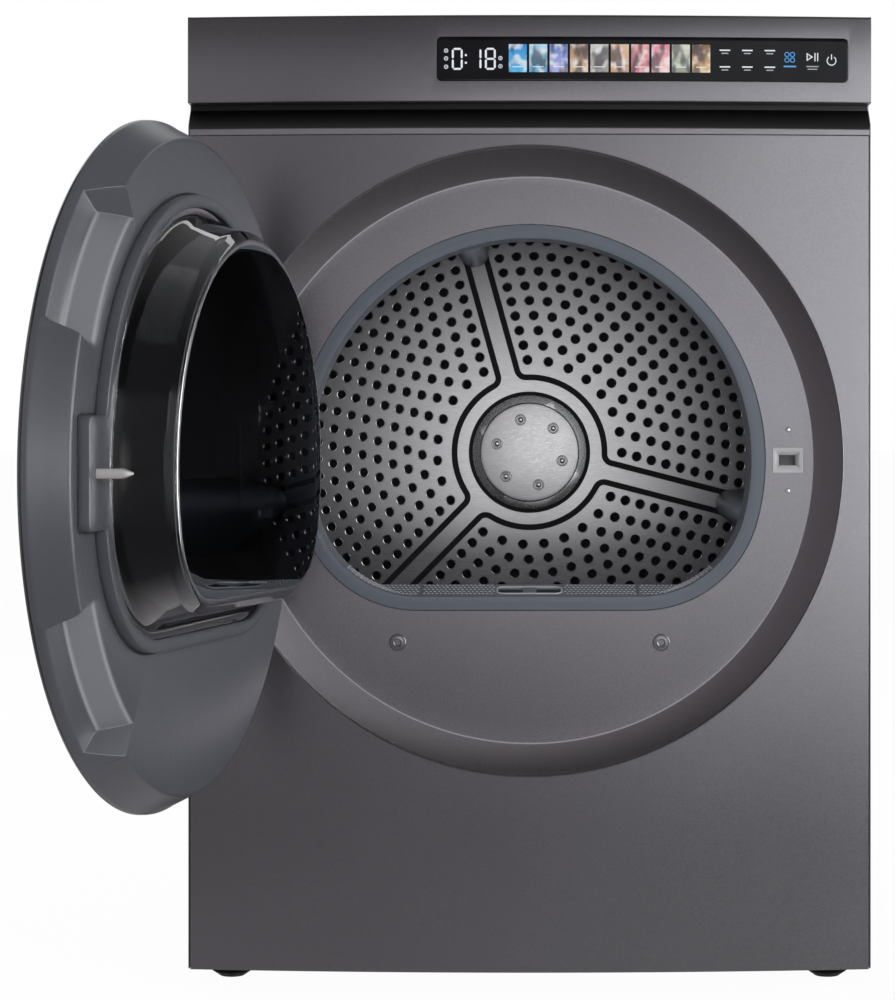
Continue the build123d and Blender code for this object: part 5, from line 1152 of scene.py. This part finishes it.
def channel_line(offset):
    """Line beside one spoke, round the hub and out beside the next, moved sideways by an offset."""
    across = CHANNEL_ACROSS + offset
    ring = CHANNEL_RING + offset
    bend = CHANNEL_BEND - offset
    centre_across = CHANNEL_ACROSS + CHANNEL_BEND
    centre_along = math.sqrt((CHANNEL_RING + CHANNEL_BEND) ** 2 - centre_across**2)
    lean = math.degrees(math.atan2(centre_across, centre_along))
    half = [(CHANNEL_END, across)] + [(along, across) for along in np.linspace(250.0, centre_along + 4.0, 8)]
    for angle in np.linspace(-90.0, -180.0 + lean, 9):
        half.append((centre_along + bend * math.cos(math.radians(angle)),
                     centre_across + bend * math.sin(math.radians(angle))))
    half += [around(ring, a) for a in np.linspace(lean, SPOKE_STEP / 2, 12)[1:]]
    c, s = around(1.0, SPOKE_STEP)
    return half + [(a * c + b * s, a * s - b * c) for a, b in half[-2::-1]]


def spun(points, degrees):
    """Places turned about the drum's axis."""
    c, s = around(1.0, degrees)
    return [(a * c - b * s, a * s + b * c) for a, b in points]


channel = channel_line(CHANNEL_HALF) + channel_line(-CHANNEL_HALF)[::-1]
channel_loops = [spun(channel, SPOKE_ANGLE + SPOKE_STEP * spoke) for spoke in range(SPOKE_COUNT)]
hole_loops = [[(x + HOLE_RADIUS * math.cos(a), z + HOLE_RADIUS * math.sin(a))
               for a in np.linspace(0, 2 * math.pi, 18, endpoint=False)] for x, z in hole_places()]
gap_loop = [around(HUB_GAP, a) for a in np.linspace(0, 360, 96, endpoint=False)]
rim_loop = [around(DRUM_INSIDE - 0.05, a) for a in np.linspace(0, 360, 160, endpoint=False)]


def sheet_between(outer, holes):
    """Flat triangles inside one outline and outside several others."""
    loops = [outer] + holes
    points = [Vector(p) for loop in loops for p in loop]
    faces, start = [], 0
    for loop in loops:
        faces.append(list(range(start, start + len(loop))))
        start += len(loop)
    made, _, triangles, _, _, origins = delaunay_2d_cdt(points, [], faces, 1, 1e-6)
    kept = [t for t, origin in zip(triangles, origins) if origin == [0]]
    return [(p.x, p.y) for p in made], kept


def plate(name, outer, holes, near, far, finish):
    """Flat plate with holes, between two depths."""
    flat, triangles = sheet_between(outer, holes)
    count = len(flat)
    points = [(x, depth, RING_HEIGHT + z) for depth in (near, far) for x, z in flat]
    faces = [tuple(t) for t in triangles] + [tuple(count + i for i in reversed(t)) for t in triangles]
    edges = {(t[k - 1], t[k]): True for t in triangles for k in (1, 2, 0)}
    faces += [(b, a, count + a, count + b) for a, b in edges if (b, a) not in edges]
    return shaped(name, at(points), faces, finish)


back_holes = hole_loops + channel_loops + [gap_loop]
back = plate("drum_back_plate", rim_loop, back_holes, DRUM_BACK, DRUM_BACK + SHEET, drum_steel)
mount(back, "drum", "drum_steel", "drum_back")

# The channels' floors and the hub's well are black sheets: painted shade for the deep grooves between the
# back plate's parts.
channel_black = grained("channel_black", (0.012, 0.012, 0.013), 0.5, 900, 0.00004, specular_ior_level=0.2)
channel_points, channel_faces = [], []
for loop in channel_loops:
    count = len(loop)
    half = count // 2
    for depth in (DRUM_BACK + CHANNEL_DEPTH, DRUM_BACK + CHANNEL_DEPTH + 0.6):
        channel_points += [(x, depth, RING_HEIGHT + z) for x, z in loop]
    start = len(channel_points) - 2 * count
    for base in (start, start + count):
        for i in range(half - 1):
            channel_faces.append((base + i, base + i + 1, base + count - 2 - i, base + count - 1 - i))
    for i in range(count):
        j = (i + 1) % count
        channel_faces.append((start + i, start + j, start + count + j, start + count + i))
channels = shaped("drum_back_channel_shade", at(channel_points), channel_faces, channel_black)
mount(channels, "drum", "black_plastic")
well_front, well_back = DRUM_BACK + CHANNEL_DEPTH, DRUM_BACK + 2.2
well_outline = [(HUB_RADIUS - 2, well_front), (HUB_GAP + 1.5, well_front), (HUB_GAP + 1.5, well_back),
                (HUB_RADIUS - 2, well_back)]
mount(turned("hub_well_shade", well_outline, channel_black, pole=False), "drum", "black_plastic")

rims = Pattern("rolled_rims", Hole_radius=0.0047, Rim_radius=0.00055)
rim_steel = grained("rim_steel", (0.60, 0.60, 0.61), 0.22, 900, 0.00002, 0.05, metallic=1.0)
rims.repeat(rims.hoop("Hole_radius", 18, "Rim_radius", 5), rim_steel)
hole_rims = rims.grow("air_hole_rims", at([(x, DRUM_BACK, RING_HEIGHT + z) for x, z in hole_places()]), 60.0)
mount(hole_rims, "drum", "drum_steel")

hub_face = DRUM_BACK - HUB_THICKNESS
hub = turned("drum_hub_disc", [(HUB_HOLE, hub_face), (47.0, hub_face), (49.6, hub_face + 0.35),
                               (HUB_RADIUS, hub_face + 1.3), (HUB_RADIUS, DRUM_BACK + 1.6),
                               (HUB_HOLE, DRUM_BACK + 1.6)], drum_steel)
mount(hub, "drum", "drum_steel", "drum_hub")
rivets = Pattern("hub_rivets", Head_radius=0.0030, Head_height=0.0011, Ring_radius=0.0047, Ring_width=0.0010)
rivet_head = rivets.dome("Head_radius", "Head_height")
rivets.repeat(rivets.joined(rivet_head, rivets.hoop("Ring_radius", 24, "Ring_width", 8)), rim_steel)
rivet_ring = [around(RIVET_RING, SPOKE_ANGLE + 360 / RIVET_COUNT * k) for k in range(RIVET_COUNT)]
rivet_places = [(x, hub_face, RING_HEIGHT + z) for x, z in rivet_ring]
rivet_heads = rivets.grow("hub_rivet_heads", at(rivet_places), 60.0)
mount(rivet_heads, "drum", "pin_steel", "drum_rivets")
# The lifters are blue-grey plastic like the bezel, made much lighter: painted light for the dim inside of the
# drum.
lifter_plastic = grained("lifter_plastic", (0.36, 0.43, 0.56), 0.34, 2200, 0.00002, 0.06)
dressed("drum_lifters", lifter_plastic, 1.2)

# Works inside the cabinet: drum rollers, motor, belt and fan, and the heat pump with its pipes and pump.
# They are hidden by the panels and keep their CAD shapes, each in its own material.
black_rubber = grained("black_rubber", (0.016, 0.016, 0.016), 0.75, 700, 0.0001, 0.2)
cast_metal = grained("cast_metal", (0.34, 0.34, 0.35), 0.5, 500, 0.0002, 0.12, metallic=0.8)
copper = grained("copper_pipe", (0.50, 0.22, 0.13), 0.3, 600, 0.00003, 0.15, metallic=1.0)
fins = Finish("fin_metal", metallic=0.9, roughness=0.45)
blade = fins.node("ShaderNodeTexWave", {"bands_direction": "Y"}, {"Vector": fins.place(), "Scale": 130.0})
fins.feed("Base Color", fins.ramp(blade, (0.0, (0.18, 0.18, 0.19)), (0.6, (0.55, 0.56, 0.57))))
fins.bump(blade, 0.0006)
for finish, nodes in ((cast_metal, ("rear_bearing", "motor_body")),
                      (bright_steel, ("roller_axles", "motor_shaft")),
                      (black_rubber, ("left_roller", "right_roller", "drive_belt", "compressor_mounts")),
                      (black_plastic, ("fan_housing", "duct_cover")),
                      (grey_plastic, ("fan_impeller", "sump_pump")),
                      (black_paint, ("compressor",)), (fins, ("evaporator", "condenser")),
                      (copper, ("refrigerant_pipes",))):
    for node in nodes:
        wear(node, finish)
dressed("drain_outlet", grey_plastic, 0.5)
dressed("power_inlet", black_plastic, 0.8)

# Door skin: a domed gloss black cover, moulded in plastic.
# It is turned over at its edge onto the liner's rim and clipped to it.
DOOR_RADIUS, RIM_BACK, SKIN_BAND, SKIN_CROWN = 270.4, -31.5, 6.5, 16.0
HINGE_DEPTH, DOOR_ANGLE = -32.0, 103.1


def swung(points):
    """Stored place in metres of door points that are given with the door shut."""
    points = np.asarray(points, float)
    c, s = math.cos(math.radians(DOOR_ANGLE)), math.sin(math.radians(DOOR_ANGLE))
    u, v = points[:, 0] - HINGE_X, points[:, 1] - HINGE_DEPTH
    return at(np.stack([HINGE_X + u * c + v * s, HINGE_DEPTH - u * s + v * c, points[:, 2]], 1))


def door_piece(name, rows, finish, slot, node, poles=None, angle=CREASE, **marks):
    """Closed door piece from rows of points round the ring's axis; poles close its two ends."""
    points, faces = round_skin(rows, poles)
    mount(shaped(name, swung(points), faces, finish, angle, **marks), "door", slot, node)


door_gloss = Finish("door_gloss", coat_roughness=0.04, specular_ior_level=0.4)
smear = door_gloss.noise(14.0, 3.0)
gloss_shades = (0.3, (0.008, 0.008, 0.009)), (0.7, (0.014, 0.014, 0.015))
door_gloss.feed("Base Color", door_gloss.ramp(smear, *gloss_shades))
inside = door_gloss.node("ShaderNodeAttribute", {"attribute_name": "inside"}, output="Fac")
door_gloss.feed("Roughness", door_gloss.spread(smear, 0.08, 0.16, 0.3, 0.7) + inside * 0.8)
door_gloss.feed("Coat Weight", 0.5 - inside * 0.5)
turn = np.linspace(0, 2 * math.pi, 240, endpoint=False)
edge_depth = RIM_BACK - SKIN_BAND
dome_radius = (DOOR_RADIUS**2 + SKIN_CROWN**2) / (2 * SKIN_CROWN)


def skin_dome(part, sink):
    """Radius and depth on the cover's dome at a part of its radius, sunk by some millimetres."""
    radius = DOOR_RADIUS * part
    return radius, edge_depth + sink + dome_radius - SKIN_CROWN - math.sqrt(dome_radius**2 - radius**2)


outer_skin = [skin_dome(part, 0.0) for part in (0.03, 0.15, 0.3, 0.45, 0.6, 0.75, 0.87, 0.95, 0.99)]
outer_skin += [(DOOR_RADIUS - inset, edge_depth + back)
               for inset, back in ((2.4, 0.2), (1.2, 1.1), (0.4, 2.0), (0.0, 3.2))]
inner_skin = [(DOOR_RADIUS - inset, edge_depth + back) for inset, back in ((2.5, 3.3), (3.4, 3.6))]
inner_skin += [skin_dome(part, 2.5) for part in (0.8, 0.5, 0.2, 0.03)]
outline = outer_skin + inner_skin
ends = [(0, outline[end][1], RING_HEIGHT) for end in (0, -1)]
inner_rows = [0.0] * len(outer_skin) + [1.0] * len(inner_skin)
skin_rows = [ring_loop(turn, radius, depth) for radius, depth in outline]
door_piece("door_skin_cover", skin_rows, door_gloss, "door_gloss", "door_skin", ends,
           inside=np.concatenate([np.repeat(inner_rows, len(turn)), [0.0, 1.0]]))

# Door liner: a grey moulding with a raised land round the bowl and two finger scoops at its free edge.
# It clips inside the skin's rim and clamps the bowl's flange.
LINER_BACK, LAND_BACK, LAND_MARGIN, LAND_LIMIT = -3.6, 5.0, 18.5, 252.0
TAB_REACH, TAB_HALF, TAB_ROUND, TAB_BLEND = 241.0, 41.0, 6.0, 2.5
RIM_END = -34.6
SCOOP_START, SCOOP_END, SCOOP_SKEW, SCOOP_EASE = 23.5, 54.8, 5.1, 0.9
SCOOP_FLOOR, SCOOP_LIP = 9, 11
SCOOP = np.array([(228.0, -4.1), (229.0, -5.0), (230.6, -6.8), (236.5, -13.1), (243.4, -20.4), (245.2, -22.2),
                  (247.2, -23.2), (254.0, -24.2), (261.0, -25.3), (266.4, -26.1), (266.8, -26.15),
                  (267.2, -26.2), (267.6, -26.3), (268.6, -26.5), (269.7, -27.7)])
PLAIN_EDGE = [(254.1, -3.6), (255.3, -3.72), (256.3, -4.5), (257.1, -6.0), (263.0, -17.5), (268.8, -28.9)]
# Painted highlights: thin lighter bands along the scoops' edges and a lighter scoop floor.
SCOOP_HIGHLIGHT = np.array([0.3, 1.0, 0.40, 0.40, 0.40, 1.0] + [0.0] * 9)


def land_radius(turn, growth):
    """Outline of the land: the D with a round-cornered tab towards the strike."""
    across, up = np.maximum(np.cos(turn), 1e-3), np.maximum(np.abs(np.sin(turn)), 1e-3)
    reach, half = TAB_REACH + growth, TAB_HALF + growth
    tab = np.minimum(reach / across, half / up)
    along = (reach - TAB_ROUND) * across + (half - TAB_ROUND) * up
    spare = along**2 - (reach - TAB_ROUND) ** 2 - (half - TAB_ROUND) ** 2 + TAB_ROUND**2
    rounded = (tab * across > reach - TAB_ROUND) & (tab * up > half - TAB_ROUND)
    tab = np.where(rounded, along + np.sqrt(np.maximum(spare, 0)), tab) * (np.cos(turn) > 0)
    round_part = d_radius(turn, LAND_MARGIN + growth)
    blend = np.log1p(np.exp(-np.abs(round_part - tab) / TAB_BLEND))
    return np.maximum(round_part, tab) + TAB_BLEND * blend


def liner_column(angle, near):
    """Radius, depth and painted highlight of the liner's side at one angle: plain, or sunk up to a slanted
    end.
    """
    flat = [(near + (PLAIN_EDGE[0][0] - near) * k / 10, LINER_BACK) for k in range(1, 10)]
    plain = np.array(flat + PLAIN_EDGE)
    free = abs(math.degrees(math.atan2(math.sin(angle), math.cos(angle))))
    if free >= SCOOP_END:
        return np.column_stack([plain, np.zeros(len(plain))]), 0.0
    share = float(np.clip((free - SCOOP_START + SCOOP_EASE) / (2 * SCOOP_EASE), 0, 1))
    share *= share * (3 - 2 * share)
    sunk, tone = SCOOP, SCOOP_HIGHLIGHT * share
    slope = (SCOOP_END - free) / SCOOP_SKEW
    if slope < 1:
        edge = np.array(PLAIN_EDGE)
        end = LINER_BACK + (SCOOP[SCOOP_LIP][1] - LINER_BACK) * slope
        foot = np.interp(-end, -SCOOP[:, 1], SCOOP[:, 0])
        top = np.interp(-end, -edge[:, 1], edge[:, 0])
        floor_depth = np.clip(SCOOP[:SCOOP_FLOOR, 1], end + 0.4, LINER_BACK)
        rim_depth = np.array([end - 0.5, PLAIN_EDGE[-1][1]])
        radius = np.concatenate([np.interp(-floor_depth, -SCOOP[:, 1], SCOOP[:, 0]),
                                 foot + (top - foot) * np.array([0.0, 0.03, 0.97, 1.0]),
                                 np.interp(-rim_depth, -edge[:, 1], edge[:, 0])])
        sunk = np.column_stack([radius, np.concatenate([floor_depth, [end] * 4, rim_depth])])
        tone = np.where(SCOOP[:SCOOP_FLOOR, 1] > end + 0.4, SCOOP_HIGHLIGHT[:SCOOP_FLOOR], 0.4)
        tone = np.concatenate([tone, [0.9, 0.0, 0.0, 0.7, 0.0, 0.0]])
    return np.column_stack([plain + (sunk - plain) * share, tone]), share


liner_plastic = grained("liner_plastic", (0.070, 0.074, 0.088), 0.30, 2200, 0.00002, 0.05)
# Where the mark is set, the liner is painted lighter: painted highlights on the scoops' edges and floors.
lighter = liner_plastic.node("ShaderNodeAttribute", {"attribute_name": "lightness"}, output="Fac")
moulded = liner_plastic.fed("Base Color")
liner_plastic.feed("Base Color", liner_plastic.mix(lighter, moulded, (0.34, 0.35, 0.38, 1)))
degrees = set(np.arange(0, 360, 0.75).tolist())
close_steps = ((7.8, 12.2, 0.12), (SCOOP_START - 1.2, SCOOP_START + 1.2, 0.3),
               (SCOOP_END - SCOOP_SKEW - 0.6, SCOOP_END + 0.4, 0.15),
               (SCOOP_END - 0.001, SCOOP_END + 0.03, 0.02))
for side in (-1, 1):
    for first, last, step in close_steps:
        degrees |= set((side * angle) % 360 for angle in np.arange(first, last, step).tolist())
turn = np.radians(sorted(degrees))
land = land_radius(turn, 0.0)
safe = np.minimum(land + 2.2, LAND_LIMIT)
plain_edge = np.maximum(SCOOP[0][0] - 1.5, safe + 0.4)
rows = [ring_loop(turn, d_radius(turn, growth), depth) for growth, depth in (
    (13.3, LINER_BACK - 2.5), (13.3, LAND_BACK - 2.3), (8.3, LAND_BACK - 2.3), (8.3, LAND_BACK - 0.8),
    (8.5, LAND_BACK - 0.25), (9.1, LAND_BACK))]
rows += [ring_loop(turn, radius, depth) for radius, depth in (
    (land_radius(turn, -1.4), LAND_BACK), (land_radius(turn, -0.4), LAND_BACK - 0.3), (land, LAND_BACK - 1.2),
    (land, LINER_BACK), (safe, LINER_BACK), (plain_edge, LINER_BACK))]
columns = [liner_column(angle, near) for angle, near in zip(turn, plain_edge)]
side_profile = np.array([column for column, share in columns])
sunk_share = np.array([share for column, share in columns])
highlight_rows = [np.zeros(len(turn))] * len(rows)
for k in range(side_profile.shape[1]):
    rows.append(ring_loop(turn, side_profile[:, k, 0], side_profile[:, k, 1]))
    highlight_rows.append(side_profile[:, k, 2])
rows += [ring_loop(turn, radius, depth) for radius, depth in (
    (DOOR_RADIUS - 0.3, RIM_BACK + 1.0), (DOOR_RADIUS - 0.15, RIM_BACK), (DOOR_RADIUS - 0.15, RIM_END),
    (DOOR_RADIUS - 2.4, RIM_END), (DOOR_RADIUS - 3.2, RIM_BACK + 0.5),
    (254.5 - 11.5 * sunk_share, LINER_BACK - 3.2 - 19.8 * sunk_share),
    (228.0 - 3.0 * sunk_share, LINER_BACK - 2.5))]
highlight_rows += [np.zeros(len(turn))] * (len(rows) - len(highlight_rows))
liner_faces = skin_faces(len(rows), len(turn), True, True)
liner = shaped("door_liner_moulding", swung(np.concatenate(rows)), liner_faces, liner_plastic, 40.0,
               lightness=np.concatenate(highlight_rows))
for arm in (RING_HEIGHT - HINGE_SPREAD, RING_HEIGHT + HINGE_SPREAD):
    arm_room = box_points((-DOOR_RADIUS - 2.5, HINGE_X + ARM_FAR + 0.5), (RIM_BACK + 0.3, LAND_BACK + 2.5),
                          (arm - ARM_HALF - 2, arm + ARM_HALF + 2))
    carve(liner, swung(arm_room), BOX_FACES, 40.0)
mount(liner, "door", "liner_plastic", "door_liner")

# Door bowl: a pressed smoked glass plug that fills the opening when the door is shut.
# Its flange curves out into the liner's land, which clamps it.
BOWL_MOUTH, BOWL_START, BOWL_END, BOWL_END_INSET = 1.0, -0.5, 47.0, 12.5
BOWL_GLASS, BOWL_EDGE, FACET_START, FACET_END = 4.0, 12.0, 24, 66
bowl_glass = Finish("bowl_glass", roughness=0.0, transmission_weight=1.0, ior=1.25, coat_ior=3.0,
                    coat_roughness=0.02)
slant = bowl_glass.node("ShaderNodeLayerWeight", {}, {"Blend": 0.5}, "Facing")
bowl_glass.feed("Coat Weight", bowl_glass.spread(slant, 0.0, 1.0, 0.2, 0.65))
tint = bowl_glass.noise(12.0, 2.0)
bowl_glass.feed("Base Color", bowl_glass.ramp(tint, (0.3, (0.30, 0.31, 0.34)), (0.7, (0.34, 0.35, 0.38))))
turn = np.linspace(0, 2 * math.pi, 300, endpoint=False)


def bowl_side(inset, end, edge):
    """Loops of one side of the bowl's wall, from its mouth to the middle of its end."""
    lean = (BOWL_END_INSET - BOWL_MOUTH) / (BOWL_END - BOWL_START)
    facet = math.cos(math.radians((FACET_END - FACET_START) / 2))
    loops = []
    for part in (0.0, 0.33, 0.66, 1.0):
        depth = BOWL_START + (end - edge - BOWL_START) * part
        loops.append(d_loop(-BOWL_MOUTH - inset - lean * (depth - BOWL_START), depth))
    for angle in (5, 10, 15, 20, 24, 32, 45, 58, 66, 70, 75, 80, 85, 90):
        a = math.radians(angle)
        pull = facet / math.cos(a - math.pi / 4) if FACET_START <= angle <= FACET_END else 1.0
        depth = end - edge + edge * pull * math.sin(a)
        growth = -BOWL_MOUTH - inset - lean * (end - edge - BOWL_START) - edge * (1 - pull * math.cos(a))
        loops.append(d_loop(growth, depth))
    flat = d_radius(turn, growth)
    return loops + [ring_loop(turn, flat * part, end) for part in (0.9, 0.7, 0.45, 0.2, 0.04)]


outside = bowl_side(0.0, BOWL_END, BOWL_EDGE)
inside = bowl_side(BOWL_GLASS, BOWL_END - BOWL_GLASS, BOWL_EDGE - BOWL_GLASS)
flange = [d_loop(growth, depth) for growth, depth in (
    (13.0, BOWL_START), (13.0, 2.5), (8.2, 2.5), (4.6, 2.8), (2.0, 3.6), (0.4, 4.9))]
rows = inside[::-1] + flange + outside[1:]
ends = [(0, depth, RING_HEIGHT) for depth in (BOWL_END - BOWL_GLASS, BOWL_END)]
door_piece("door_bowl_glass", rows, bowl_glass, "bowl_glass", "door_bowl", ends, 50.0)

# Door gasket: a soft black rubber lip, moulded in one length round the land.
# It is pressed into the liner beside the land and meets the recess floor.
turn = np.radians(sorted(degrees))
rows = [ring_loop(turn, land_radius(turn, growth), LINER_BACK + proud)
        for growth, proud in ((0.1, 0.0), (1.7, 0.0), (1.6, 0.7), (0.9, 1.1), (0.1, 0.8))]
door_piece("door_gasket_lip", rows, black_rubber, "black_rubber", "door_gasket", angle=50.0)

# Strike: a bright cast zinc tongue that springs into the latch's jaws.
# It is screwed behind the land's tab, at the door's free edge.
strike_metal = grained("strike_metal", (0.46, 0.455, 0.45), 0.34, 600, 0.00002, 0.05, metallic=0.7)
dressed("door_strike", strike_metal, 0.7)
